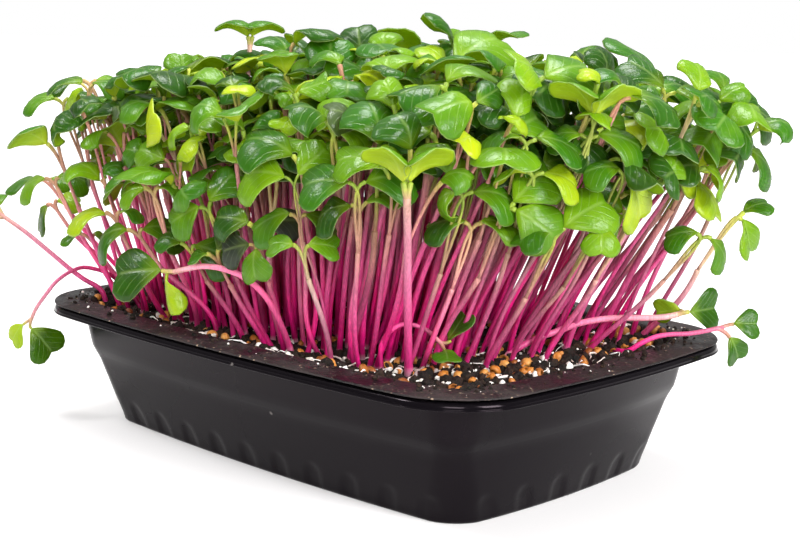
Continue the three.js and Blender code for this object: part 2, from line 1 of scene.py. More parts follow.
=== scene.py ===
"""Radish microgreens in a black food tray: two nested thermoformed trays, a bed of moist growing
medium with seed coats and perlite on it, and a dense crop of magenta-stemmed seedlings whose
heart-shaped seed leaves lean out over the rim.

Shapes are worked out in millimetres and become metres when their mesh is made."""
import functools
import itertools
import math

import bpy
import numpy as np
from bpy.props import FloatProperty, FloatVectorProperty, IntProperty, PointerProperty
from mathutils import Matrix, Vector


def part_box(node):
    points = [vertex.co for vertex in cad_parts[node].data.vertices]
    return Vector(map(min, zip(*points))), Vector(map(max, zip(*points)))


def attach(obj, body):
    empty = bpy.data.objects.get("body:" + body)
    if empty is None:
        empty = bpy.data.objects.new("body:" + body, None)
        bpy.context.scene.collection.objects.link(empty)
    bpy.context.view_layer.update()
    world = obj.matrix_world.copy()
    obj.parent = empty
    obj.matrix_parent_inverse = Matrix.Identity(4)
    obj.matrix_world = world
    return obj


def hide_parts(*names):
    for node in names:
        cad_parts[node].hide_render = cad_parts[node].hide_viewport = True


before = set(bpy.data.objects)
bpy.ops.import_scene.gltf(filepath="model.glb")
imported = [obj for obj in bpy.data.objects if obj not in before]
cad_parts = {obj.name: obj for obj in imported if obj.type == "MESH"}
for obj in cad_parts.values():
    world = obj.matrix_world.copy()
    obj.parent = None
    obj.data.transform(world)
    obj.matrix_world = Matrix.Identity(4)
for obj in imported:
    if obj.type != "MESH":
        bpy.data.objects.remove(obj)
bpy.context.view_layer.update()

bl_info = {
    "name": "Radish Microgreens Tray",
    "version": (1, 0, 0),
    "blender": (4, 5, 0),
    "location": "3D View > Sidebar > Microgreens",
    "description": "Dresses the tray of radish microgreens in its finished surfaces",
    "category": "Object",
}

MM = 0.001  # metres in a millimetre


def linear(text):
    """Linear RGB of an sRGB colour written as #rrggbb."""
    parts = np.array([int(text[i : i + 2], 16) for i in (1, 3, 5)]) / 255
    low = parts / 12.92
    high = ((parts + 0.055) / 1.055) ** 2.4
    return tuple(np.where(parts <= 0.04045, low, high))


def node_box(node):
    """Lowest and highest corner of a CAD node, in millimetres."""
    low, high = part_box(node)
    return np.array(low) / MM, np.array(high) / MM


# ---------------------------------------------------------------- sizes, in millimetres

OUTER_HIGH = node_box("outer_tray")[1]
INNER_LOW, INNER_HIGH = node_box("inner_tray")
MEDIUM_LOW = node_box("growing_medium")[0]

# The rim, whose sides bow outwards between round corners, and the floor of the outer tray.
RIM_BOW = 4.5
RIM_LENGTH = INNER_HIGH[0] - INNER_LOW[0] - 2 * RIM_BOW
RIM_WIDTH = INNER_HIGH[1] - INNER_LOW[1] - 2 * RIM_BOW
RIM_CORNER = 19
FLANGE_WIDTH = 8.7
TRAY_HEIGHT = INNER_HIGH[2]
OUTER_RIM_Z = OUTER_HIGH[2]
FLOOR_PLAN = (147, 88, 10, 3.3)  # length, width, corner radius and bow
FLOOR_EDGE = 1.1  # height that the floor's plan belongs to, at the rounded foot

# The wall: it widens upwards, with a step part way up that other trays can stack on.
UPPER_WALL_TAPER = 2.9
SHOULDER_STEP = 1.2
SHOULDER_Z = 23.0
SHOULDER_DROP = 0.8
SHOULDER_SOFTNESS = 1.8

# Sheet thicknesses, and how the inner tray sits in the outer one.
SHEET = 0.8
OUTER_WALL = 1.2
INNER_WALL = 0.8
INNER_FLANGE = 0.5
NEST = 1.6  # outer face of the inner tray from the outer face of the outer tray
NEST_RISE = 0.4
LIP_PROUD = OUTER_HIGH[0] - INNER_HIGH[0]
LIP_BOTTOM = OUTER_RIM_Z - 2.2

# The row of arched scallops round the foot of the wall.
FLUTE_PITCH = 13.6
FLUTE_WIDTH = 6.8
FLUTE_HEIGHT = 8.6

# The medium and the crop on it.
MEDIUM_TOP = 35.2
MEDIUM_RISE = 2.4  # how much higher the medium lies along the wall
ROOT_Z = MEDIUM_TOP + 0.3
CROP_LEFT, CROP_RIGHT = -76, 50
CROP_HALF_WIDTH = 45
CROP_BACK_REACH = 14  # how much further right the crop reaches at its back corner
BARE_CORNER = 79  # X less Y beyond which few seeds lie, at the near right corner
SEED_SHAKE = 1.2  # how far seeds lie off their even grid
ROOM_ROUND_ROOT = 3.4  # free of random seeds round a listed root
COLUMNS, ROWS = 6, 4

# The canopy: its height over the tray's foot, how it climbs to the right, how it falls at its
# ends and sides, how far crowns hang back under it, and how far they lean out.
CANOPY_TOP = 113
CANOPY_CLIMB = 6
CANOPY_FALL_ENDS = 4
CANOPY_FALL_FRONT, CANOPY_FALL_BACK = 15, 4
CANOPY_DEPTH = 22
DEPTH_MORE_RIGHT, DEPTH_MORE_RIM, DEPTH_MORE_ENDS = 5, 5, 13
LEAN_LEFT, LEAN_RIGHT, LEAN_SIDES = 19, 42, 15
LEAN_LESS_BEYOND = 26  # taken off again where the crop reaches further right
CROWN_SHAKE = 2.6
FORK_DEPTH = (12, 27)  # how far the fork lies under the crown, least and most


# ---------------------------------------------------------------- settings a user may change


class TrayLook(bpy.types.PropertyGroup):
    """Colours of the two trays and the depth of the scallops."""

    wall: FloatVectorProperty(
        name="Plastic", description="Black of the tray plastic", subtype="COLOR",
        default=linear("#0a080b"), min=0, max=1)
    dust: FloatVectorProperty(
        name="Dust", description="Dry soil dust on the flange", subtype="COLOR",
        default=linear("#332a2a"), min=0, max=1)
    flute_depth: FloatProperty(
        name="Scallop depth", description="Depth of the scallops at the foot of the wall",
        default=0.36 * MM, min=0, max=2 * MM, unit="LENGTH")


class BedLook(bpy.types.PropertyGroup):
    """Colours and counts of what lies on the growing medium."""

    soil: FloatVectorProperty(
        name="Medium", description="Moist coir and peat", subtype="COLOR",
        default=linear("#21160f"), min=0, max=1)
    hull: FloatVectorProperty(
        name="Seed coats", description="Empty radish seed coats", subtype="COLOR",
        default=linear("#bd7429"), min=0, max=1)
    perlite: FloatVectorProperty(
        name="Perlite", description="White mineral grains", subtype="COLOR",
        default=linear("#f2eee8"), min=0, max=1)
    crumb_count: IntProperty(
        name="Crumbs", description="Lumps of medium on the surface", default=1700, min=0, max=4000)
    hull_count: IntProperty(
        name="Seed coats", description="Seed coats on the surface", default=230, min=0, max=800)
    perlite_count: IntProperty(
        name="Perlite grains", description="White grains on the surface", default=620, min=0,
        max=1500)


class CropLook(bpy.types.PropertyGroup):
    """Colours and sizes of the seedlings."""

    stem_foot: FloatVectorProperty(
        name="Stem foot", description="Stem colour at the roots", subtype="COLOR",
        default=linear("#fb2292"), min=0, max=1)
    stem_middle: FloatVectorProperty(
        name="Stem middle", description="Stem colour half way up", subtype="COLOR",
        default=linear("#ef5f9f"), min=0, max=1)
    stem_top: FloatVectorProperty(
        name="Stem top", description="Stem colour under the fork", subtype="COLOR",
        default=linear("#d58f8c"), min=0, max=1)
    stalk: FloatVectorProperty(
        name="Leaf stalk", description="Leaf stalk colour where it meets the leaf",
        subtype="COLOR", default=linear("#b4bf45"), min=0, max=1)
    leaf_top: FloatVectorProperty(
        name="Leaf", description="Upper side of a seed leaf", subtype="COLOR",
        default=linear("#2f6b10"), min=0, max=1)
    leaf_under: FloatVectorProperty(
        name="Leaf underside", description="Lower side of a seed leaf", subtype="COLOR",
        default=linear("#93b01f"), min=0, max=1)
    leaf_length: FloatProperty(
        name="Leaf length", description="Mean length of a seed leaf", default=12.8 * MM,
        min=8 * MM, max=22 * MM, unit="LENGTH")
    leaf_width: FloatProperty(
        name="Leaf width", description="Mean width of a seed leaf", default=15.2 * MM,
        min=8 * MM, max=24 * MM, unit="LENGTH")
    stem_radius: FloatProperty(
        name="Stem radius", description="Mean stem radius at the foot", default=0.77 * MM,
        min=0.4 * MM, max=2 * MM, unit="LENGTH")
    spacing: FloatProperty(
        name="Seed spacing", description="Mean distance between stems", default=5.3 * MM,
        min=4 * MM, max=15 * MM, unit="LENGTH")
    seed: IntProperty(name="Seed", description="Number that sets the random growth", default=11)


class StageLook(bpy.types.PropertyGroup):
    """Floor, lights and camera."""

    floor: FloatVectorProperty(
        name="Floor", description="Pale studio floor", subtype="COLOR",
        default=linear("#d6d4d4"), min=0, max=1)
    world_strength: FloatProperty(
        name="Surround", description="Brightness of the white surround", default=0.44, min=0,
        max=5)
    key_power: FloatProperty(
        name="Key light", description="Power of the overhead softbox", default=12.0, min=0,
        max=100, unit="POWER")
    lens: FloatProperty(
        name="Lens", description="Focal length of the camera in millimetres", default=67.64,
        min=20, max=200)


class MicrogreensLook(bpy.types.PropertyGroup):
    """All the settings of the tray of microgreens."""

    tray: PointerProperty(type=TrayLook)
    bed: PointerProperty(type=BedLook)
    crop: PointerProperty(type=CropLook)
    stage: PointerProperty(type=StageLook)


def look():
    """The settings that the add-on keeps with the scene."""
    return bpy.context.scene.microgreens


# ---------------------------------------------------------------- arrays and meshes


def unit(v):
    """Vectors of length one along the last axis."""
    return v / np.maximum(np.linalg.norm(v, axis=-1, keepdims=True), 1e-9)


def smooth_step(low, high, value):
    """0 under low, 1 over high and a smooth rise between."""
    t = np.clip((value - low) / (high - low), 0, 1)
    return t * t * (3 - 2 * t)


def noise(points, scale, seed):
    """Value noise from -1 to 1: random numbers on a lattice of the given spacing, blended with a
    smooth step along each axis."""
    place = points / scale + 31.7 * seed
    cell = np.floor(place)
    inside = place - cell
    inside = inside * inside * (3 - 2 * inside)
    weights = np.array([12.9898, 78.233, 37.719])[: points.shape[-1]]
    total = np.zeros(points.shape[:-1])
    for corner in itertools.product((0, 1), repeat=points.shape[-1]):
        value = np.sin((cell + corner) @ weights + seed) * 43758.5453
        share = np.prod(np.where(corner, inside, 1 - inside), axis=-1)
        total += share * (value - np.floor(value))
    return 2 * total - 1


def grid_faces(rings, around):
    """Quads between neighbouring rings of points numbered ring by ring, as an index array."""
    ring = np.arange(rings - 1)[:, None]
    step = np.arange(around)[None]
    after = (step + 1) % around
    corners = [ring * around + step, ring * around + after,
               (ring + 1) * around + after, (ring + 1) * around + step]
    return np.stack(np.broadcast_arrays(*corners), -1).reshape(-1, 4)


def fan_faces(pole, start, around, outwards):
    """Triangles from a pole to a ring that starts at a number."""
    step = np.arange(around)
    after = (step + 1) % around
    sides = (start + step, start + after) if outwards else (start + after, start + step)
    return np.stack([np.full(around, pole), *sides], -1)


def closed_faces(rings, around, turned=False):
    """Quads between rings and triangles from the first and the last ring to two poles, which are
    numbered after the rings. They face outwards if the rings run anticlockwise as seen from the
    last pole, and turned is for rings that run the other way."""
    quads = grid_faces(rings, around)
    size = rings * around
    fans = [fan_faces(size, 0, around, turned),
            fan_faces(size + 1, size - around, around, not turned)]
    return [quads[:, ::-1] if turned else quads, np.concatenate(fans)]


def repeated(faces, count, size):
    """The same arrays of faces for a number of like shapes of a number of points each."""
    first = np.arange(count)[:, None, None] * size
    return [(part[None] + first).reshape(-1, part.shape[-1]) for part in faces]


def make_piece(name, points, faces, material, stands_for, values=None, uv=None):
    """Makes a mesh object of points in millimetres and of faces, a list of index arrays, with a
    number for each point in each named attribute. It rides on the only body."""
    mesh = bpy.data.meshes.new(name)
    corners = np.concatenate([f.ravel() for f in faces]).astype(np.int32)
    sizes = np.concatenate([np.full(len(f), f.shape[-1]) for f in faces])
    starts = np.concatenate([[0], np.cumsum(sizes)[:-1]]).astype(np.int32)
    mesh.vertices.add(len(points))
    mesh.vertices.foreach_set("co", (points * MM).astype(np.float32).ravel())
    mesh.loops.add(len(corners))
    mesh.loops.foreach_set("vertex_index", corners)
    mesh.polygons.add(len(sizes))
    mesh.polygons.foreach_set("loop_start", starts)
    mesh.polygons.foreach_set("use_smooth", np.ones(len(sizes), bool))
    mesh.update(calc_edges=True)
    for key, value in (values or {}).items():
        attribute = mesh.attributes.new(key, "FLOAT", "POINT")
        attribute.data.foreach_set("value", np.asarray(value, np.float32).ravel())
    if uv is not None:
        layer = mesh.uv_layers.new(name="Blade")
        layer.data.foreach_set("uv", uv[corners].astype(np.float32).ravel())
    mesh.validate()
    mesh.materials.append(material)
    piece = bpy.data.objects.new(name, mesh)
    bpy.context.scene.collection.objects.link(piece)
    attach(piece, "root")
    if stands_for:
        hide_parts(*stands_for)


# ---------------------------------------------------------------- materials

# Sockets of the Mix node: of its colours, and of its numbers.
MIX_FACTOR, MIX_A, MIX_B = 0, 6, 7
MIX_FLOAT_FACTOR, MIX_FLOAT_A, MIX_FLOAT_B = 0, 2, 3

# Cells of the patterns, in millimetres. The grain of plastic, medium and leaves, the grit, the
# pores of perlite, the root hairs and the width of streaks are finer in life, and are drawn as
# coarse as they need to show.
SHEET_WAVE = 35.71
SKIN_GRAIN = 1.111
SCUFF_SPACING = 6.667
DUST_PATCH = 11.11
GRIT = 1.111
MEDIUM_CLUMP = 3.846
MEDIUM_GRAIN = 1.111
PERLITE_PORE = 0.6667
COAT_WRINKLE = 1.4286
ROOT_HAIR = 0.8333
STREAK_WIDTH, STREAK_LENGTH = 0.5263, 8.772
STEM_PATCH = 11.11
VEIN_WANDER = 6.25
LEAF_MOTTLE = 8.333
LEAF_GRAIN = 0.7692
FLOOR_CLOUD = 333.3


def add_node(tree, kind, sockets=None, stops=None, **settings):
    """Adds a shader node to a tree. settings are the node's own, stops are a colour ramp's
    positions and colours, and sockets gives each input a value, another node's output or another
    node, which stands for the first of its outputs in use."""
    made = tree.nodes.new("ShaderNode" + kind)
    for key, value in settings.items():
        setattr(made, key, value)
    for key, value in (sockets or {}).items():
        if isinstance(value, bpy.types.Node):
            value = next(output for output in value.outputs if output.enabled)
        if isinstance(value, bpy.types.NodeSocket):
            tree.links.new(value, made.inputs[key])
        else:
            made.inputs[key].default_value = value
    for i, (place, colour) in enumerate(stops or ()):
        ramp = made.color_ramp.elements
        stop = ramp[i] if i < 2 else ramp.new(place)
        stop.position = place
        stop.color = (*colour, 1)
    return made


def new_material(name):
    """A node material, its tree and the Object coordinates that its patterns lie on."""
    material = bpy.data.materials.new(name)
    material.use_nodes = True
    tree = material.node_tree
    tree.nodes.clear()
    return material, tree, add_node(tree, "TexCoord").outputs["Object"]


def opaque(colour):
    """A colour as a socket takes it, with full alpha."""
    return (*colour, 1)


def cells_of(size):
    """Scale of a pattern on Object coordinates whose cells are some millimetres across."""
    return 1 / (size * MM)


def tray_plastic():
    """Polypropylene sheet, black and thermoformed: a satin skin over a smooth wall with a few pale
    scuffs, and a lip that the forming tool left polished."""
    material, tree, place = new_material("thermoformed_polypropylene_black")
    broad = add_node(tree, "TexNoise", {
        "Vector": place, "Scale": cells_of(SHEET_WAVE), "Detail": 3})
    fine = add_node(tree, "TexNoise", {
        "Vector": place, "Scale": cells_of(SKIN_GRAIN), "Detail": 2})
    specks = add_node(tree, "TexVoronoi", {"Vector": place, "Scale": cells_of(SCUFF_SPACING)})
    near = add_node(tree, "MapRange", {
        "Value": specks.outputs["Distance"], "From Min": 0.05, "From Max": 0.11,
        "To Min": 1, "To Max": 0})
    some = add_node(tree, "MapRange", {
        "Value": specks.outputs["Color"], "From Min": 0.86, "From Max": 0.9})
    scuff = add_node(tree, "Math", {0: near, 1: some}, operation="MULTIPLY")
    faint = add_node(tree, "Math", {0: scuff, 1: 0.35}, operation="MULTIPLY")
    colour = add_node(tree, "Mix", {
        MIX_FACTOR: faint, MIX_A: opaque(look().tray.wall),
        MIX_B: opaque(linear("#a39c98"))}, data_type="RGBA")
    gloss = add_node(tree, "MapRange", {
        "Value": broad, "From Min": 0.3, "From Max": 0.7, "To Min": 0.24, "To Max": 0.32})
    height = add_node(tree, "SeparateXYZ", {0: place})
    lip = add_node(tree, "MapRange", {
        "Value": height.outputs["Z"], "From Min": (LIP_BOTTOM - 0.3) * MM,
        "From Max": (LIP_BOTTOM + 0.2) * MM})
    polished = add_node(tree, "Mix", {
        MIX_FLOAT_FACTOR: lip, MIX_FLOAT_A: gloss, MIX_FLOAT_B: 0.13}, data_type="FLOAT")
    bump = add_node(tree, "Bump", {"Height": fine, "Strength": 0.05, "Distance": 0.2 * MM})
    skin = add_node(tree, "BsdfPrincipled", {
        "Base Color": colour, "Roughness": polished, "IOR": 1.49, "Specular IOR Level": 0.11,
        "Specular Tint": opaque(linear("#ffe9f6")), "Normal": bump})
    add_node(tree, "OutputMaterial", {"Surface": skin})
    return material


def dusty_plastic():
    """The same sheet under a film of dried soil: matt and brown in patches, clean and satin where
    it was rubbed, with specks of soil and perlite dust."""
    material, tree, place = new_material("thermoformed_polypropylene_dusty")
    patches = add_node(tree, "TexNoise", {
        "Vector": place, "Scale": cells_of(DUST_PATCH), "Detail": 6, "Roughness": 0.65})
    film = add_node(tree, "MapRange", {
        "Value": patches, "From Min": 0.4, "From Max": 0.62, "To Min": 0.05, "To Max": 1.0})
    dusted = add_node(tree, "Mix", {
        MIX_FACTOR: film, MIX_A: opaque(look().tray.wall),
        MIX_B: opaque(look().tray.dust)}, data_type="RGBA")
    grit = add_node(tree, "TexVoronoi", {"Vector": place, "Scale": cells_of(GRIT)})
    near = add_node(tree, "MapRange", {
        "Value": grit.outputs["Distance"], "From Min": 0.2, "From Max": 0.4,
        "To Min": 1, "To Max": 0})
    pale = add_node(tree, "MapRange", {
        "Value": grit.outputs["Color"], "From Min": 0.72, "From Max": 0.86})
    speck = add_node(tree, "Math", {0: near, 1: pale}, operation="MULTIPLY")
    colour = add_node(tree, "Mix", {
        MIX_FACTOR: speck, MIX_A: dusted, MIX_B: opaque(linear("#a08a76"))}, data_type="RGBA")
    rough = add_node(tree, "MapRange", {"Value": film, "To Min": 0.34, "To Max": 0.8})
    height = add_node(tree, "Math", {0: near, 1: 0.3, 2: patches}, operation="MULTIPLY_ADD")
    bump = add_node(tree, "Bump", {"Height": height, "Strength": 0.7, "Distance": 0.9 * MM})
    skin = add_node(tree, "BsdfPrincipled", {
        "Base Color": colour, "Roughness": rough, "IOR": 1.49,
        "Specular IOR Level": 0.3, "Normal": bump})
    add_node(tree, "OutputMaterial", {"Surface": skin})
    return material


def moist_medium():
    """Coir and peat, milled and moist: near black where wet, brown where a fibre has dried, and
    broken into grains that catch the light."""
    material, tree, place = new_material("coir_and_peat_moist")
    clumps = add_node(tree, "TexNoise", {
        "Vector": place, "Scale": cells_of(MEDIUM_CLUMP), "Detail": 8, "Roughness": 0.7})
    tone = add_node(tree, "ValToRGB", {"Fac": clumps}, stops=[
        (0.36, linear("#0b0807")), (0.74, linear("#6a4a31")), (0.5, look().bed.soil),
        (0.62, linear("#38251a"))])
    grains = add_node(tree, "TexVoronoi", {"Vector": place, "Scale": cells_of(MEDIUM_GRAIN)})
    height = add_node(tree, "Math", {0: clumps, 1: grains.outputs["Distance"]}, operation="ADD")
    bump = add_node(tree, "Bump", {"Height": height, "Strength": 0.9, "Distance": 1.2 * MM})
    skin = add_node(tree, "BsdfPrincipled", {
        "Base Color": tone, "Roughness": 0.82, "Specular IOR Level": 0.35, "Normal": bump})
    add_node(tree, "OutputMaterial", {"Surface": skin})
    return material


def plain_grain(name, colours, roughness, cell, relief):
    """A small grain: its own random tone, with a fine noise added, runs through a ramp of evenly
    spaced colours. Tone and noise add up to 1.3 at most, which the ramp's end stands for."""
    material, tree, place = new_material(name)
    tone = add_node(tree, "Attribute", attribute_name="tone").outputs["Fac"]
    fine = add_node(tree, "TexNoise", {"Vector": place, "Scale": cells_of(cell), "Detail": 4})
    mixed = add_node(tree, "Math", {0: fine, 1: 0.45, 2: tone}, operation="MULTIPLY_ADD")
    darkest, palest, most = 0.2, 1.25, 1.3
    spread = add_node(tree, "Math", {0: mixed, 1: 1 / most}, operation="MULTIPLY")
    stops = list(zip(np.linspace(darkest, palest, len(colours)) / most, colours))
    ramp = add_node(tree, "ValToRGB", {"Fac": spread}, stops=[stops[0], stops[-1], *stops[1:-1]])
    bump = add_node(tree, "Bump", {"Height": fine, "Strength": 0.6, "Distance": relief * MM})
    skin = add_node(tree, "BsdfPrincipled", {
        "Base Color": ramp, "Roughness": roughness, "Normal": bump})
    add_node(tree, "OutputMaterial", {"Surface": skin})
    return material


def perlite():
    """Expanded volcanic glass, popped by heat: a white, rough foam."""
    white = look().bed.perlite
    return plain_grain("perlite_expanded", [linear("#cfc4b8"), white, white], roughness=0.9,
                       cell=PERLITE_PORE, relief=0.3)


def seed_coat():
    """Dried radish seed coat: thin, papery and tan to orange-brown, with a slight shine."""
    colours = [linear("#6b3416"), look().bed.hull, linear("#d1934a")]
    return plain_grain("radish_seed_coat_dried", colours, roughness=0.5, cell=COAT_WRINKLE,
                       relief=0.2)


def root_flesh():
    """Young root: watery white flesh under fine root hairs, which blur its outline."""
    colours = [linear("#d9c2b6"), linear("#f3eae4"), linear("#ffffff")]
    return plain_grain("young_root", colours, roughness=0.6, cell=ROOT_HAIR, relief=0.2)


def stem_flesh():
    """Juicy radish hypocotyl: waxy and magenta at the foot with the pigment fading through dusty
    pink to tan at the fork and yellow-green at the leaf, in fine streaks along the stem."""
    crop = look().crop
    material, tree, place = new_material("radish_stem_flesh")
    along = add_node(tree, "Attribute", attribute_name="along").outputs["Fac"]
    tone = add_node(tree, "Attribute", attribute_name="tone").outputs["Fac"]
    pale = add_node(tree, "Attribute", attribute_name="pale").outputs["Fac"]
    stretched = add_node(tree, "Mapping", {
        "Vector": place, "Scale": (1, 1, STREAK_WIDTH / STREAK_LENGTH)})
    streaks = add_node(tree, "TexNoise", {
        "Vector": stretched, "Scale": cells_of(STREAK_WIDTH), "Detail": 3})
    patches = add_node(tree, "TexNoise", {
        "Vector": place, "Scale": cells_of(STEM_PATCH), "Detail": 2})
    shifted = add_node(tree, "Math", {0: tone, 1: 0.26, 2: along}, operation="MULTIPLY_ADD")
    varied = add_node(tree, "Math", {0: patches, 1: 0.16, 2: shifted}, operation="MULTIPLY_ADD")
    centred = add_node(tree, "Math", {0: varied, 1: -0.2}, operation="ADD")
    ramp = add_node(tree, "ValToRGB", {"Fac": centred}, stops=[
        (0.0, linear("#a30a55")), (1.0, linear("#93b03a")), (0.12, crop.stem_foot),
        (0.38, crop.stem_middle), (0.56, linear("#cc6288")), (0.7, crop.stem_top),
        (0.87, linear("#b08565")), (0.97, crop.stalk)])
    cream = add_node(tree, "ValToRGB", {"Fac": along}, stops=[
        (0.0, linear("#e23a8c")), (1.0, linear("#b3c440")), (0.3, linear("#e991b0")),
        (0.6, linear("#efc3c2")), (0.85, linear("#d6c484"))])
    chosen = add_node(tree, "Mix", {MIX_FACTOR: pale, MIX_A: ramp, MIX_B: cream}, data_type="RGBA")
    depth = add_node(tree, "MapRange", {
        "Value": streaks, "From Min": 0.3, "From Max": 0.7, "To Min": 0.78, "To Max": 1.18})
    own = add_node(tree, "MapRange", {"Value": tone, "To Min": 1.14, "To Max": 0.66})
    shade = add_node(tree, "Math", {0: depth, 1: own}, operation="MULTIPLY")
    streaked = add_node(tree, "VectorMath", {0: chosen, "Scale": shade}, operation="SCALE")
    rooted = add_node(tree, "MapRange", {
        "Value": along, "From Min": 0.0, "From Max": 0.035, "To Min": 0.75, "To Max": 0})
    colour = add_node(tree, "Mix", {
        MIX_FACTOR: rooted, MIX_A: streaked, MIX_B: opaque(linear("#eccfd6"))}, data_type="RGBA")
    bump = add_node(tree, "Bump", {"Height": streaks, "Strength": 0.25, "Distance": 0.2 * MM})
    skin = add_node(tree, "BsdfPrincipled", {
        "Base Color": colour, "Roughness": 0.36, "IOR": 1.4,
        "Specular IOR Level": 0.5, "Normal": bump})
    glow = add_node(tree, "BsdfTranslucent", {"Color": colour})
    both = add_node(tree, "MixShader", {0: 0.24, 1: skin, 2: glow})
    add_node(tree, "OutputMaterial", {"Surface": both})
    return material


def leaf_blade():
    """Fleshy radish seed leaf: a waxy green upper side with sunk pale veins, a yellow-green lower
    side, a pale line along the margin and light that glows through the blade."""
    crop = look().crop
    material, tree, place = new_material("radish_seed_leaf_blade")
    under = add_node(tree, "Attribute", attribute_name="underside").outputs["Fac"]
    margin = add_node(tree, "Attribute", attribute_name="margin").outputs["Fac"]
    tone = add_node(tree, "Attribute", attribute_name="tone").outputs["Fac"]
    purple = add_node(tree, "Attribute", attribute_name="purple").outputs["Fac"]
    chart = add_node(tree, "UVMap", uv_map="Blade")
    split = add_node(tree, "SeparateXYZ", {0: chart})
    length = split.outputs["X"]
    side = add_node(tree, "Math", {0: split.outputs["Y"], 1: -0.5}, operation="ADD")
    away = add_node(tree, "Math", {0: side}, operation="ABSOLUTE")

    # Side veins leave the midrib forwards and curve on towards the margin.
    bent = add_node(tree, "Math", {0: away, 1: 0.8}, operation="POWER")
    slanted = add_node(tree, "Math", {0: bent, 1: -0.95, 2: length}, operation="MULTIPLY_ADD")
    wander = add_node(tree, "TexNoise", {
        "Vector": place, "Scale": cells_of(VEIN_WANDER), "Detail": 2})
    shaken = add_node(tree, "Math", {0: wander, 1: 0.08, 2: slanted}, operation="MULTIPLY_ADD")
    counted = add_node(tree, "Math", {0: shaken, 1: 5.4}, operation="MULTIPLY")
    spaced = add_node(tree, "Math", {0: counted, 1: 0.5}, operation="PINGPONG")
    side_vein = add_node(tree, "MapRange", {
        "Value": spaced, "From Min": 0.02, "From Max": 0.085, "To Min": 0.7, "To Max": 0})
    midrib = add_node(tree, "MapRange", {
        "Value": away, "From Min": 0.008, "From Max": 0.04, "To Min": 1, "To Max": 0})
    vein = add_node(tree, "Math", {0: side_vein, 1: midrib}, operation="MAXIMUM")
    inner = add_node(tree, "MapRange", {
        "Value": margin, "From Min": 0.72, "From Max": 0.93, "To Min": 1, "To Max": 0})
    veins = add_node(tree, "Math", {0: vein, 1: inner}, operation="MULTIPLY")

    mottle = add_node(tree, "TexNoise", {
        "Vector": place, "Scale": cells_of(LEAF_MOTTLE), "Detail": 4})
    age = add_node(tree, "Math", {0: mottle, 1: 0.35, 2: tone}, operation="MULTIPLY_ADD")
    upper = add_node(tree, "ValToRGB", {"Fac": age}, stops=[
        (0.12, linear("#16390f")), (1.0, linear("#b9c81c")), (0.42, crop.leaf_top),
        (0.72, linear("#709c12"))])
    near_stalk = add_node(tree, "MapRange", {
        "Value": length, "From Min": 0.02, "From Max": 0.42, "To Min": 0.8, "To Max": 0})
    paler = add_node(tree, "Math", {0: near_stalk, 1: 0.5}, operation="MULTIPLY")
    fresh = add_node(tree, "Mix", {
        MIX_FACTOR: paler, MIX_A: upper, MIX_B: opaque(linear("#a9c926"))}, data_type="RGBA")
    lower = add_node(tree, "ValToRGB", {"Fac": age}, stops=[
        (0.15, linear("#86ac1c")), (0.95, linear("#c8d62a")), (0.5, crop.leaf_under)])
    pale_base = add_node(tree, "Mix", {
        MIX_FACTOR: near_stalk, MIX_A: lower, MIX_B: opaque(linear("#d4df3c"))}, data_type="RGBA")
    sided = add_node(tree, "Mix", {
        MIX_FACTOR: under, MIX_A: fresh, MIX_B: pale_base}, data_type="RGBA")
    stained = add_node(tree, "Mix", {
        MIX_FACTOR: purple, MIX_A: sided, MIX_B: opaque(linear("#34283a"))}, data_type="RGBA")
    vein_show = add_node(tree, "Math", {0: veins, 1: 0.2}, operation="MULTIPLY")
    veined = add_node(tree, "Mix", {
        MIX_FACTOR: vein_show, MIX_A: stained, MIX_B: opaque(linear("#b9d27a"))}, data_type="RGBA")
    edge = add_node(tree, "MapRange", {
        "Value": margin, "From Min": 0.965, "From Max": 0.99, "To Min": 0, "To Max": 0.5})
    colour = add_node(tree, "Mix", {
        MIX_FACTOR: edge, MIX_A: veined, MIX_B: opaque(linear("#c5d88e"))}, data_type="RGBA")

    skin_grain = add_node(tree, "TexNoise", {
        "Vector": place, "Scale": cells_of(LEAF_GRAIN), "Detail": 2})
    sunk = add_node(tree, "Math", {0: veins, 1: -0.9, 2: skin_grain}, operation="MULTIPLY_ADD")
    bump = add_node(tree, "Bump", {"Height": sunk, "Strength": 0.35, "Distance": 0.3 * MM})
    rough = add_node(tree, "MapRange", {"Value": under, "To Min": 0.27, "To Max": 0.45})
    skin = add_node(tree, "BsdfPrincipled", {
        "Base Color": colour, "Roughness": rough, "IOR": 1.42,
        "Specular IOR Level": 0.44, "Normal": bump})
    lit = add_node(tree, "Mix", {
        MIX_FACTOR: 0.5, MIX_A: colour, MIX_B: opaque(linear("#d2e81c"))}, data_type="RGBA")
    glow = add_node(tree, "BsdfTranslucent", {"Color": lit, "Normal": bump})
    both = add_node(tree, "MixShader", {0: 0.38, 1: skin, 2: glow})
    add_node(tree, "OutputMaterial", {"Surface": both})
    return material


def studio_floor():
    """White acrylic sheet, matt, with a painted glow that lifts the shadows and grows from the
    middle outwards, so that the far floor is as white as the surround.
    """
    material, tree, place = new_material("white_acrylic_painted_glow")
    soft = add_node(tree, "TexNoise", {
        "Vector": place, "Scale": cells_of(FLOOR_CLOUD), "Detail": 2})
    grey = add_node(tree, "MapRange", {"Value": soft, "To Min": 0.97, "To Max": 1.0})
    colour = add_node(tree, "VectorMath", {
        0: look().stage.floor, "Scale": grey}, operation="SCALE")
    distance = add_node(tree, "VectorMath", {0: place}, operation="LENGTH")
    # Painted glow: emission on a floor that is no lamp, weakest near the middle and strongest far
    # out.
    painted_glow = add_node(tree, "MapRange", {
        "Value": distance, "From Min": 0.3, "From Max": 1.6, "To Min": 0.3, "To Max": 1.0})
    skin = add_node(tree, "BsdfPrincipled", {
        "Base Color": colour, "Roughness": 0.9, "Specular IOR Level": 0.1,
        "Emission Color": (1, 0.985, 0.985, 1), "Emission Strength": painted_glow})
    add_node(tree, "OutputMaterial", {"Surface": skin})
    return material


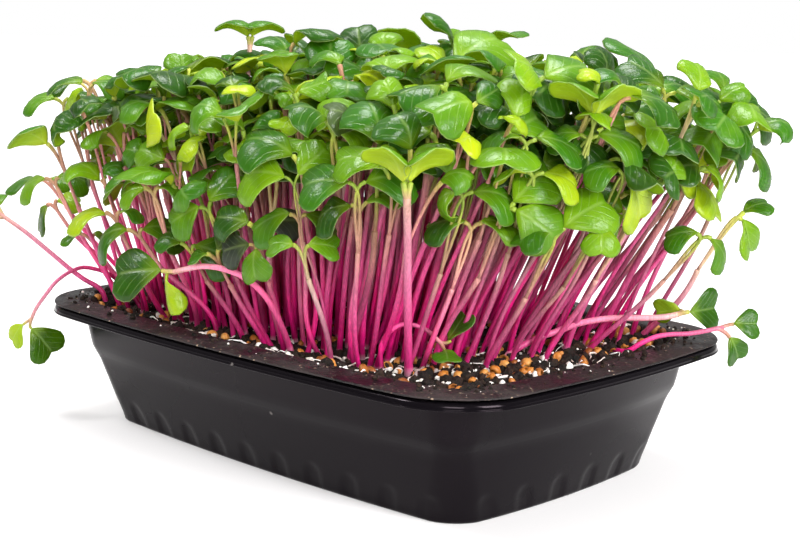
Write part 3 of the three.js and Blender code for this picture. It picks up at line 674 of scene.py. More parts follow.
@functools.cache
def finish_of(maker):
    """The material that a function makes, made once and then shared."""
    return maker()


# ---------------------------------------------------------------- trays


def perimeter(arc, long, short):
    """Points round any rounded rectangle: how far along X and Y each lies between the centres of
    its corners, from -1 to 1, and the angle that it faces."""
    signs = np.array([[1, 1], [-1, 1], [-1, -1], [1, -1], [1, 1]], float)
    shares, angles = [], []
    for quarter, straight in enumerate((long, short, long, short)):
        shares.append(np.repeat(signs[quarter][None], arc, 0))
        angles.append((quarter + np.arange(arc) / arc) * np.pi / 2)
        t = np.arange(straight)[:, None] / straight
        shares.append(signs[quarter] * (1 - t) + signs[quarter + 1] * t)
        angles.append(np.full(straight, (quarter + 1) * np.pi / 2))
    return np.concatenate(shares), np.concatenate(angles)


def outlines(plans, heights, around):
    """Closed outlines, one for each plan of length, width, corner and bow. A point lies between
    the corner centres plus the corner radius towards the way it faces, and each side is then
    pushed out by the bow times the fourth power of its own share times one less the other
    share squared."""
    shares, angles = around
    length, width, corner, bow = (np.asarray(plans, float)[:, i, None] for i in range(4))
    x = shares[:, 0] * (length / 2 - corner) + corner * np.cos(angles)
    y = shares[:, 1] * (width / 2 - corner) + corner * np.sin(angles)
    across, beside = 2 * x / length, 2 * y / width
    out_x = x + bow * np.sign(x) * across**4 * (1 - beside**2)
    out_y = y + bow * np.sign(y) * beside**4 * (1 - across**2)
    return np.stack([out_x, out_y, np.broadcast_to(heights[:, None], x.shape)], -1)


def inset(plans, distance):
    """Plans moved inwards by a distance each."""
    moved = np.array(plans, float)
    distance = np.broadcast_to(distance, len(moved))
    moved[:, 0] -= 2 * distance
    moved[:, 1] -= 2 * distance
    moved[:, 2] = np.maximum(moved[:, 2] - distance, 2)
    return moved


RIM_PLAN = (RIM_LENGTH, RIM_WIDTH, RIM_CORNER, RIM_BOW)
WALL_TOP = inset([RIM_PLAN], FLANGE_WIDTH)[0]
SHOULDER_TOP = inset([WALL_TOP], UPPER_WALL_TAPER)[0]
SHOULDER_FOOT = inset([SHOULDER_TOP], SHOULDER_STEP)[0]
WALL_HEIGHTS = (FLOOR_EDGE, SHOULDER_Z - SHOULDER_DROP, SHOULDER_Z, OUTER_RIM_Z - SHEET)
WALL_PLANS = np.array([FLOOR_PLAN, SHOULDER_FOOT, SHOULDER_TOP, WALL_TOP], float)


def wall_plans(heights):
    """Plans of the outer tray's wall at heights: between the four known plans, averaged over a
    little height so that the shoulder's corners are round."""
    near = np.asarray(heights, float)[:, None] + np.linspace(-1, 1, 9) * SHOULDER_SOFTNESS
    columns = [np.interp(near, WALL_HEIGHTS, WALL_PLANS[:, i]).mean(1) for i in range(4)]
    return np.stack(columns, -1)


def arc_steps(centre, radius, start, end, count):
    """(inset, height) of points on an arc, from one angle to another in degrees, where 0 points
    inwards and 90 up."""
    turn = np.radians(np.linspace(start, end, count))
    return [(centre[0] + radius * c, centre[1] + radius * s)
            for c, s in zip(np.cos(turn), np.sin(turn))]


def shell(name, profile, around, dent, material):
    """A closed skin swept round the tray: each profile step is a plan height, an inset and a
    height, the first and last steps are closed by a point on the axis, and dent shifts points."""
    steps = np.array(profile, float)
    plans = inset(wall_plans(steps[:, 0]), steps[:, 1])
    points = dent(outlines(plans, steps[:, 2], around))
    poles = np.array([[0, 0, steps[0, 2]], [0, 0, steps[-1, 2]]])
    vertices = np.concatenate([points.reshape(-1, 3), poles])
    make_piece(name, vertices, closed_faces(*points.shape[:2]), material, [name])


def scalloped(points):
    """Pushes the foot of the wall inwards in a row of scallops: each is an arch whose depth is a
    smooth step of one less the distance from its middle squared less the fourth power of its
    height, and it fades out at its bottom."""
    depth = look().tray.flute_depth / MM
    foot = points[np.argmin(np.abs(points[:, 0, 2] - FLOOR_EDGE))]
    step = np.linalg.norm(np.roll(foot, -1, 0) - foot, axis=1)
    run = np.concatenate([[0], np.cumsum(step)])
    count = round(run[-1] / FLUTE_PITCH)
    phase = run[:-1] / run[-1] * count
    off = (phase - np.round(phase)) * FLUTE_PITCH / (FLUTE_WIDTH / 2)
    climb = np.clip(points[..., 2], 0, None) / FLUTE_HEIGHT
    scallop = smooth_step(0, 0.8, np.clip(1 - off[None] ** 2 - climb**4, 0, 1))
    outside = np.arange(len(points)) < np.argmax(points[:, 0, 2] > FLUTE_HEIGHT + 1)
    above = smooth_step(-0.1, 1.4, points[..., 2])
    facing = np.stack([np.cos(DENSE[1]), np.sin(DENSE[1]), np.zeros(len(DENSE[1]))], -1)
    return points - facing * (depth * scallop * above * outside[:, None])[..., None]


# Points round the tray: close enough together for the scallops, and for plain pieces.
DENSE = perimeter(14, 116, 66)
EVEN = perimeter(14, 44, 30)


def outer_tray():
    """Profile from the middle of the floor out, up the wall, over the hanging lip and down the
    inside. Every edge is an arc."""
    top, drop = OUTER_RIM_Z, LIP_BOTTOM
    plan = WALL_HEIGHTS[-1]
    lip = FLANGE_WIDTH + LIP_PROUD
    foot, corner, edge = 1.4, 0.9, 0.25  # radii of the foot, under the flange and of the lip
    profile = [(FLOOR_EDGE, inset_by, 0) for inset_by in (34, 16, 7, 3)]
    profile += [(FLOOR_EDGE, i, z) for i, z in arc_steps((foot, foot), foot, -90, -180, 6)]

    # Rings lie close together over the scallops and at the shoulder.
    for low, high, rings in ((1.9, 10.4, 14), (11.5, 21.4, 7), (21.8, 23.5, 9), (24.5, 36, 7)):
        profile += [(z, 0, z) for z in np.linspace(low, high, rings)]

    # Out under the flange, down inside the lip, round its edge and up its swelling face.
    profile += [(plan, i - corner, z)
                for i, z in arc_steps((0, top - SHEET - corner), corner, 0, 90, 4)]
    profile += [(plan, -lip + inwards, top - SHEET) for inwards in (5, 2.5, 0.9)]
    profile += [(plan, -lip + 0.9, drop + 0.7)]
    profile += [(plan, -lip + i, z)
                for i, z in arc_steps((edge, drop + edge), edge, 0, -180, 6)]
    profile += [(plan, -lip + i, z) for i, z in ((0.04, drop + 0.36), (0.22, drop + 0.5))]
    profile += [(plan, -lip + 1.5 - 1.25 * np.cos(t), drop + 0.6 + (top - drop - 0.6) * np.sin(t))
                for t in np.linspace(0, np.pi / 2, 9)]

    # Back over the flange and down the inside to the floor.
    profile += [(plan, -lip + inwards, top) for inwards in (3, 6)]
    profile += [(plan, OUTER_WALL, top)]
    profile += [(z, OUTER_WALL, z) for z in (35, 29, 23.4, 21.8, 16, 10, 2.4)]
    profile += [(FLOOR_EDGE, OUTER_WALL + 1.2, OUTER_WALL), (FLOOR_EDGE, 20, OUTER_WALL)]
    shell("outer_tray", profile, DENSE, scalloped, finish_of(tray_plastic))


def flange_wear(points):
    """Lets the flange dip and rise a little, as thin sheet does."""
    sway = 0.16 * noise(points, 23, 3) + 0.05 * noise(points, 4, 5)
    high = smooth_step(MEDIUM_TOP, TRAY_HEIGHT, points[..., 2])
    points[..., 2] += np.minimum(sway, 0.1) * high
    return points


def inner_tray():
    """Profile of the tray that nests inside: up its outer face, out under its thin flange, round
    the plain edge, back over the flange and down the inside."""
    top, edge, sheet = TRAY_HEIGHT, FLANGE_WIDTH, INNER_FLANGE
    plan = WALL_HEIGHTS[-1]
    under = OUTER_WALL + NEST_RISE
    inner = NEST + INNER_WALL
    corner = 1.2  # radius of the corner between flange and wall
    profile = [(FLOOR_EDGE, i, under) for i in (30, NEST + corner)]
    profile += [(z, NEST, z + NEST_RISE) for z in (2.4, 10, 16, 21.8, 22.6, 23.4, 29, 35)]
    profile += [(plan, i, top - sheet) for i in (NEST, 0, 2 - edge)]
    profile += [(plan, -edge + i, z) for i, z in
                arc_steps((sheet / 2, top - sheet / 2), sheet / 2, -90, -270, 7)]
    profile += [(plan, -edge + i, top) for i in np.linspace(1.2, edge - 0.3, 9)]
    profile += [(plan, i, z)
                for i, z in arc_steps((inner - corner, top - corner), corner, 90, 0, 5)]
    profile += [(z, inner, z + NEST_RISE) for z in (35, 29, 23.6, 22.6, 21.6, 16, 10, 2.4)]
    profile += [(FLOOR_EDGE, i, under + INNER_WALL) for i in (inner + corner, 30)]
    shell("inner_tray", profile, EVEN, flange_wear, finish_of(dusty_plastic))


# ---------------------------------------------------------------- growing medium

BED_INSET = NEST + INNER_WALL + 0.35
BED_PLAN = inset([WALL_TOP], BED_INSET)
BED_RINGS = 74


def bed_share(x, y):
    """How far out a point of the bed lies: 0 in the middle and 1 at the tray's wall."""
    length, width, _, bow = BED_PLAN[0]
    return np.maximum(np.abs(x) / (length / 2 + bow), np.abs(y) / (width / 2 + bow))


def bed_height(x, y):
    """Height of the medium: level, a little higher towards the wall, and broken up by noise of
    three sizes."""
    flat = np.stack([x, y], -1)
    rise = MEDIUM_RISE * smooth_step(0.86, 0.99, bed_share(x, y))
    rough = 0.75 * noise(flat, 9, 1) + 0.5 * noise(flat, 3.6, 2) + 0.38 * noise(flat, 1.6, 7)
    return MEDIUM_TOP + rise + 0.35 + 0.85 * rough


def growing_medium():
    """A block under a rough surface: rings of the tray's outline shrink towards the middle, and
    each point has the height of the medium there."""
    shares = 1 - (np.arange(1, BED_RINGS) / BED_RINGS) ** 1.15
    edge = outlines(BED_PLAN, np.array([MEDIUM_TOP]), DENSE)[0]
    top = edge[None] * np.concatenate([[1.0], shares])[:, None, None]
    top[..., 2] = bed_height(top[..., 0], top[..., 1])
    heights = np.array([MEDIUM_LOW[2], MEDIUM_LOW[2] + 1.2, 14, 21.5, 23.6, 34])
    insets = BED_INSET + np.array([1.2, 0, 0, 0.1, 0, 0.1])
    sides = outlines(inset(wall_plans(heights), insets), heights, DENSE)
    points = np.concatenate([sides, top])
    poles = np.array([[0, 0, heights[0]], [0, 0, bed_height(np.zeros(1), np.zeros(1))[0]]])
    make_piece("growing_medium", np.concatenate([points.reshape(-1, 3), poles]),
               closed_faces(*points.shape[:2]), finish_of(moist_medium), ["growing_medium"])


def ball_grid(rows, around):
    """Points and faces of a ball of radius one: rings from pole to pole round its centre."""
    tilt = (np.arange(rows) + 1) / (rows + 1) * np.pi
    turn = np.arange(around) / around * 2 * np.pi
    ring = np.stack([np.sin(tilt)[:, None] * np.cos(turn), np.sin(tilt)[:, None] * np.sin(turn),
                     np.broadcast_to(np.cos(tilt)[:, None], (rows, around))], -1)
    points = np.concatenate([ring.reshape(-1, 3), [[0, 0, 1], [0, 0, -1]]])
    return points, closed_faces(rows, around, turned=True)


def random_turns(rng, count):
    """Random rotation matrices, from random unit quaternions."""
    w, x, y, z = unit(rng.normal(size=(count, 4))).T
    rows = [[1 - 2 * (y * y + z * z), 2 * (x * y - w * z), 2 * (x * z + w * y)],
            [2 * (x * y + w * z), 1 - 2 * (x * x + z * z), 2 * (y * z - w * x)],
            [2 * (x * z - w * y), 2 * (y * z + w * x), 1 - 2 * (x * x + y * y)]]
    return np.moveaxis(np.array(rows), -1, 0)


def bed_places(rng, count, bare_share):
    """Random places on the medium. A share of them lies in the bare band along the wall, where
    they show, and the rest all over."""
    length, width, corner, bow = BED_PLAN[0]
    found = np.zeros((0, 2))
    while len(found) < count:
        tried = rng.uniform(-1, 1, (4 * count, 2)) * (length / 2 + bow - 1, width / 2 + bow - 1)
        outside = np.clip(np.abs(tried) - (length / 2 - corner, width / 2 - corner), 0, None)
        inside = np.hypot(*outside.T) < corner + bow * 0.3
        open_band = (np.abs(tried[:, 1]) > CROP_HALF_WIDTH - 4) | (tried[:, 0] > CROP_RIGHT - 8)
        wanted = inside & (open_band | (rng.random(len(tried)) > bare_share))
        found = np.concatenate([found, tried[wanted]])
    return found[:count]


def flange_places(rng, count):
    """Random places on the flange, most of them close to its inner edge and many at its left
    end."""
    plans = inset(np.repeat([WALL_TOP], count, 0), 0.6 - 5.5 * rng.random(count) ** 2.4)
    ring = outlines(plans, np.zeros(count), EVEN)
    chosen = ring[np.arange(count), rng.integers(0, ring.shape[1], count), :2]
    left = np.stack([rng.uniform(-84, -78, count), rng.uniform(-44, 30, count)], -1)
    chosen = np.where(rng.random((count, 1)) < 0.3, left, chosen)
    return chosen + rng.normal(0, 0.5, (count, 2))


def scatter(name, rng, centre, radius, squash, lumpiness, rows, around, material, stands_for,
            slot):
    """Grains round their centres: balls stretched and turned at random, whose radius a noise makes
    lumpy."""
    ball, faces = ball_grid(rows, around)
    count = len(centre)
    stretch = 1 + squash * rng.uniform(-1, 1, (count, 3))
    points = ball[None] * stretch[:, None] * radius[:, None, None]
    lumps = 1 + lumpiness * noise(points + rng.uniform(0, 900, (count, 1, 3)), 0.9, 4)
    points = np.einsum("nij,npj->npi", random_turns(rng, count), points * lumps[..., None])
    tone = np.repeat(rng.random(count), len(ball))
    make_piece(name, (points + centre[:, None]).reshape(-1, 3),
               repeated(faces, count, len(ball)), material, stands_for, {"tone": tone})


def loose_grains(rng, count, sizes, sink, bare_share, spilled, spilled_sizes):
    """Centres and radii of grains on the medium, and of smaller ones spilled on the flange."""
    places = bed_places(rng, count, bare_share)
    radius = sizes[0] + (sizes[1] - sizes[0]) * rng.random(count) ** 1.8
    centre = np.column_stack([places, bed_height(*places.T) + radius * sink])
    fine = spilled_sizes[0] + (spilled_sizes[1] - spilled_sizes[0]) * rng.random(spilled) ** 2.5
    over = np.column_stack([flange_places(rng, spilled), TRAY_HEIGHT + fine * 0.3])
    return np.concatenate([centre, over]), np.concatenate([radius, fine])


def loose_bed():
    """Crumbs of medium and grains of perlite."""
    bed = look().bed
    rng = np.random.default_rng(5)
    crumbs = loose_grains(rng, bed.crumb_count, sizes=(0.4, 2.0), sink=0.15, bare_share=0.6,
                          spilled=460, spilled_sizes=(0.12, 0.8))
    scatter("soil_crumbs", rng, *crumbs, squash=0.35, lumpiness=0.45, rows=3, around=6,
            material=finish_of(moist_medium), stands_for=["growing_medium"],
            slot="growing_medium")
    grains = loose_grains(rng, bed.perlite_count, sizes=(0.2, 1.2), sink=0.35, bare_share=0.55,
                          spilled=90, spilled_sizes=(0.1, 0.4))
    scatter("perlite_grains", rng, *grains, squash=0.3, lumpiness=0.5, rows=4, around=7,
            material=finish_of(perlite), stands_for=["perlite_1", "perlite_2", "perlite_3"],
            slot="perlite")


HULL_WALL = 0.84  # radius of a hull's inner face as a share of its outer face's


def seed_hulls():
    """Empty seed coats: each is a cup of a stretched ball whose wall has a little thickness. Rings
    run from the outer pole to the mouth and back inside to the inner pole."""
    rng = np.random.default_rng(8)
    count = look().bed.hull_count
    around, rows = 9, 4
    opening = rng.uniform(0.5, 0.85, (count, 1)) * np.pi
    tilt = np.arange(rows + 1)[None] / rows * opening
    tilt = np.concatenate([tilt, tilt[:, ::-1]], 1)[:, 1:-1]
    shrink = np.where(np.arange(2 * rows) < rows, 1.0, HULL_WALL)
    turn = np.arange(around) / around * 2 * np.pi
    flat = np.sin(tilt)[..., None] * shrink[None, :, None]
    height = np.broadcast_to((np.cos(tilt) * shrink)[..., None], (*tilt.shape, around))
    points = np.stack([flat * np.cos(turn), flat * np.sin(turn), height], -1)
    poles = np.broadcast_to(np.array([[0, 0, 1.0], [0, 0, HULL_WALL]]), (count, 2, 3))
    points = np.concatenate([points.reshape(count, -1, 3), poles], 1)
    radius = rng.uniform(1.0, 1.85, count)
    stretch = np.stack([rng.uniform(0.95, 1.25, count), rng.uniform(0.75, 1, count),
                        rng.uniform(0.75, 1, count)], -1)
    dents = 1 + 0.16 * noise(points * 1.1 + rng.uniform(0, 900, (count, 1, 3)), 0.7, 6)
    points = points * dents[..., None] * stretch[:, None] * radius[:, None, None]
    points = np.einsum("nij,npj->npi", random_turns(rng, count), points)
    places = bed_places(rng, count, 0.62)
    centre = np.column_stack([places, bed_height(*places.T) + radius * 0.5])
    size = points.shape[1]
    tone = np.repeat(rng.random(count), size)
    make_piece("seed_hulls", (points + centre[:, None]).reshape(-1, 3),
               repeated(closed_faces(2 * rows, around, turned=True), count, size),
               finish_of(seed_coat), [f"seed_hull_{i + 1}" for i in range(6)],
               {"tone": tone})


# ---------------------------------------------------------------- tubes and leaves


def tube_points(paths, radii, sides):
    """Points of closed tubes, and the faces of one: at each point of a path stands a ring across
    it, whose sideways direction is carried on from ring to ring. A point closes each end."""
    count, rings = paths.shape[:2]
    along = unit(np.gradient(paths, axis=1))
    side = unit(np.cross(along[:, 0], [0.31, 0.17, 0.05]) + 1e-6)
    sideways = np.empty_like(paths)
    for ring in range(rings):
        t = along[:, ring]
        side = unit(side - (side * t).sum(-1, keepdims=True) * t)
        sideways[:, ring] = side
    upright = np.cross(along, sideways)
    turn = np.arange(sides) / sides * 2 * np.pi
    across = np.cos(turn)[:, None] * sideways[..., None, :]
    across = across + np.sin(turn)[:, None] * upright[..., None, :]
    ring_points = paths[:, :, None] + across * radii[..., None, None]
    ends = np.stack([paths[:, 0] - along[:, 0] * radii[:, :1] * 0.5,
                     paths[:, -1] + along[:, -1] * radii[:, -1:] * 0.5], 1)
    points = np.concatenate([ring_points.reshape(count, -1, 3), ends], 1)
    return points, closed_faces(rings, sides)


def per_ring(values, sides):
    """A number for each ring of each tube, given to the points of the ring and to the ends."""
    spread = np.repeat(values, sides, axis=1)
    return np.concatenate([spread, values[:, :1], values[:, -1:]], 1)


BLADE_AROUND = 24
BLADE_RINGS = np.array([0.42, 0.76, 0.94, 1.0])  # from the middle to the margin
BLADE_THICKNESS = np.array([1.0, 0.97, 0.8, 0.0])  # of each ring, as a share of the most
BLADE_CENTRE = 0.52  # share of the length from the stalk to the middle of the grid
WEDGE = math.radians(41)  # half angle of the blade where it leaves the stalk
CURL_STEPS = 24
CURL_SPAN = 1.06  # share of the length over which the midrib bends


def blade_outline(turn):
    """Distance from the blade's middle to its margin by angle, as a share of the length: a round
    body with two lobes and a notch between them, cut at the stalk by two straight sides."""
    away = np.abs((turn + np.pi) % (2 * np.pi) - np.pi)
    body = 0.545 + 0.03 * np.exp(-(((away - 0.75) / 0.4) ** 2))
    body = body - 0.15 * np.exp(-((away / 0.3) ** 2)) + 0.02 * np.sin(away)
    reach = BLADE_CENTRE * np.sin(WEDGE)
    facing = np.cos(away - (np.pi / 2 + WEDGE))
    wedge = np.where(facing > 0.2, reach / np.maximum(facing, 0.2), 9.0)
    return (body**-8.0 + wedge**-8.0) ** (-1 / 8)


def blade_grid():
    """Flat blade: share along, share across, which side and how near the margin, for each point
    of the upper rings, the margin, the lower rings and the two poles."""
    turn = np.arange(BLADE_AROUND) / BLADE_AROUND * 2 * np.pi
    reach = blade_outline(turn)
    lower = BLADE_RINGS[:-1][::-1]
    rings = np.concatenate([BLADE_RINGS, lower])
    half = np.concatenate([BLADE_THICKNESS, -BLADE_THICKNESS[:-1][::-1]])
    x = BLADE_CENTRE + rings[:, None] * reach * np.cos(turn)
    y = rings[:, None] * reach * np.sin(turn)
    ring_of = np.repeat(rings, BLADE_AROUND)
    half_of = np.repeat(half, BLADE_AROUND)
    wave = rings[:, None] ** 2 * np.stack([np.sin(3 * turn), np.cos(2 * turn)])[:, None]
    flat = {
        "x": np.concatenate([x.ravel(), [BLADE_CENTRE, BLADE_CENTRE]]),
        "y": np.concatenate([y.ravel(), [0, 0]]),
        "half": np.concatenate([half_of, [1, -1]]),
        "margin": np.concatenate([ring_of, [0, 0]]),
        "underside": np.concatenate([(half_of < 0) * 1.0, [0, 1]]),
        "wave": np.concatenate([wave.reshape(2, -1), np.zeros((2, 2))], 1),
    }
    return flat, closed_faces(len(rings), BLADE_AROUND, turned=True)


BLADE, BLADE_FACES = blade_grid()


def arch(curl, bias):
    """Midribs that bend: the angle grows from nothing to the whole curl in a smooth step whose
    middle lies at a share of the length. Gives how far forward, how far down and at what angle
    the midrib is at each of many even steps along a blade of length one."""
    size = CURL_SPAN / CURL_STEPS
    steps = (np.arange(CURL_STEPS) + 0.5) * size
    angle = curl[:, None] * smooth_step(bias[:, None] - 0.5, bias[:, None] + 0.5, steps)
    start = np.zeros((len(curl), 1))
    forward = np.concatenate([start, np.cumsum(np.cos(angle) * size, 1)], 1)
    down = np.concatenate([start, np.cumsum(np.sin(angle) * size, 1)], 1)
    return forward, down, np.concatenate([angle[:, :1], (angle[:, 1:] + angle[:, :-1]) / 2,
                                          angle[:, -1:]], 1)


def blade_points(leaf):
    """Blades from arrays with one row each. The flat heart is rolled across into an arc, folded
    along its midrib, bent along it into an arch and twisted, and then laid along its direction
    with its upper side towards its normal."""
    def column(key):
        return leaf[key][:, None]

    length, width = column("length"), column("width")
    y = BLADE["y"] * width
    thick = 0.31 * (1 + 1.2 * np.exp(-((BLADE["x"] / 0.14) ** 2)))
    ripple = column("ripple_a") * BLADE["wave"][0] + column("ripple_b") * BLADE["wave"][1]
    z = thick * BLADE["half"] + ripple
    bend = column("roll") * smooth_step(0.0, 0.5, BLADE["x"]) / (width / 2) + 1e-4
    y, z = (1 / bend + z) * np.sin(bend * y), (1 / bend + z) * np.cos(bend * y) - 1 / bend
    z = z + column("fold") * (np.sqrt(y * y + 1.2) - np.sqrt(1.2))
    forward, down, angle = arch(leaf["curl"], leaf["bias"])
    place = np.clip(BLADE["x"] / CURL_SPAN, 0, 0.999) * CURL_STEPS
    step = place.astype(int)
    part = place - step

    def along(table):
        return table[:, step] * (1 - part) + table[:, step + 1] * part

    bent = along(angle)
    x = along(forward) * length + z * np.sin(bent)
    z = -along(down) * length + z * np.cos(bent)
    turn = column("twist") * BLADE["x"]
    y, z = y * np.cos(turn) - z * np.sin(turn), y * np.sin(turn) + z * np.cos(turn)
    ahead = unit(leaf["forward"])
    normal = unit(leaf["normal"] - (leaf["normal"] * ahead).sum(-1, keepdims=True) * ahead)
    left = np.cross(normal, ahead)
    return (leaf["base"][:, None] + x[..., None] * ahead[:, None] + y[..., None] * left[:, None]
            + z[..., None] * normal[:, None])


def make_leaves(name, leaf, stands_for):
    """One piece of all the given blades."""
    points = blade_points(leaf)
    count, size = points.shape[:2]

    def all_of(key):
        return np.tile(BLADE[key], count)

    uv = np.stack([all_of("x"), all_of("y") + 0.5], -1)
    make_piece(name, points.reshape(-1, 3),
               repeated(BLADE_FACES, count, size), finish_of(leaf_blade), stands_for,
               {"underside": all_of("underside"), "margin": all_of("margin"),
                "tone": np.repeat(leaf["tone"], size), "purple": np.repeat(leaf["purple"], size)},
               uv)


STEM_SIDES, STEM_RINGS = 8, 22
STALK_SIDES, STALK_RINGS = 6, 11
STALK_START = 0.72  # where leaf stalks begin on the colour scale that runs from root to leaf


def hermite(start, start_way, end, end_way, t):
    """Points on a cubic curve that leaves start along one vector and reaches end along
    another."""
    t = t[:, None]
    a, b = start[:, None], end[:, None]
    m, n = start_way[:, None], end_way[:, None]
    return ((2 * t**3 - 3 * t**2 + 1) * a + (t**3 - 2 * t**2 + t) * m
            + (3 * t**2 - 2 * t**3) * b + (t**3 - t**2) * n)


def make_stems(name, stem, stalk, stands_for):
    """One piece of stems and of leaf stalks, both closed tubes, with where along the colour scale,
    how dark and how pale each point is."""
    vertices = np.zeros((0, 3))
    faces = []
    values = {"along": [], "tone": [], "pale": []}
    for tubes, sides, low, high in ((stem, STEM_SIDES, 0, STALK_START),
                                    (stalk, STALK_SIDES, STALK_START, 1)):
        points, tube = tube_points(tubes["path"], tubes["radii"], sides)
        count, size = points.shape[:2]
        rise = np.linspace(low, high, tubes["path"].shape[1])
        faces += [part + len(vertices) for part in repeated(tube, count, size)]
        vertices = np.concatenate([vertices, points.reshape(-1, 3)])
        values["along"].append(per_ring(np.tile(rise, (count, 1)), sides).ravel())
        values["tone"].append(np.repeat(tubes["tone"], size))
        values["pale"].append(np.repeat(tubes["pale"], size))
    values = {key: np.concatenate(parts) for key, parts in values.items()}
    make_piece(name, vertices, faces, finish_of(stem_flesh), stands_for, values)
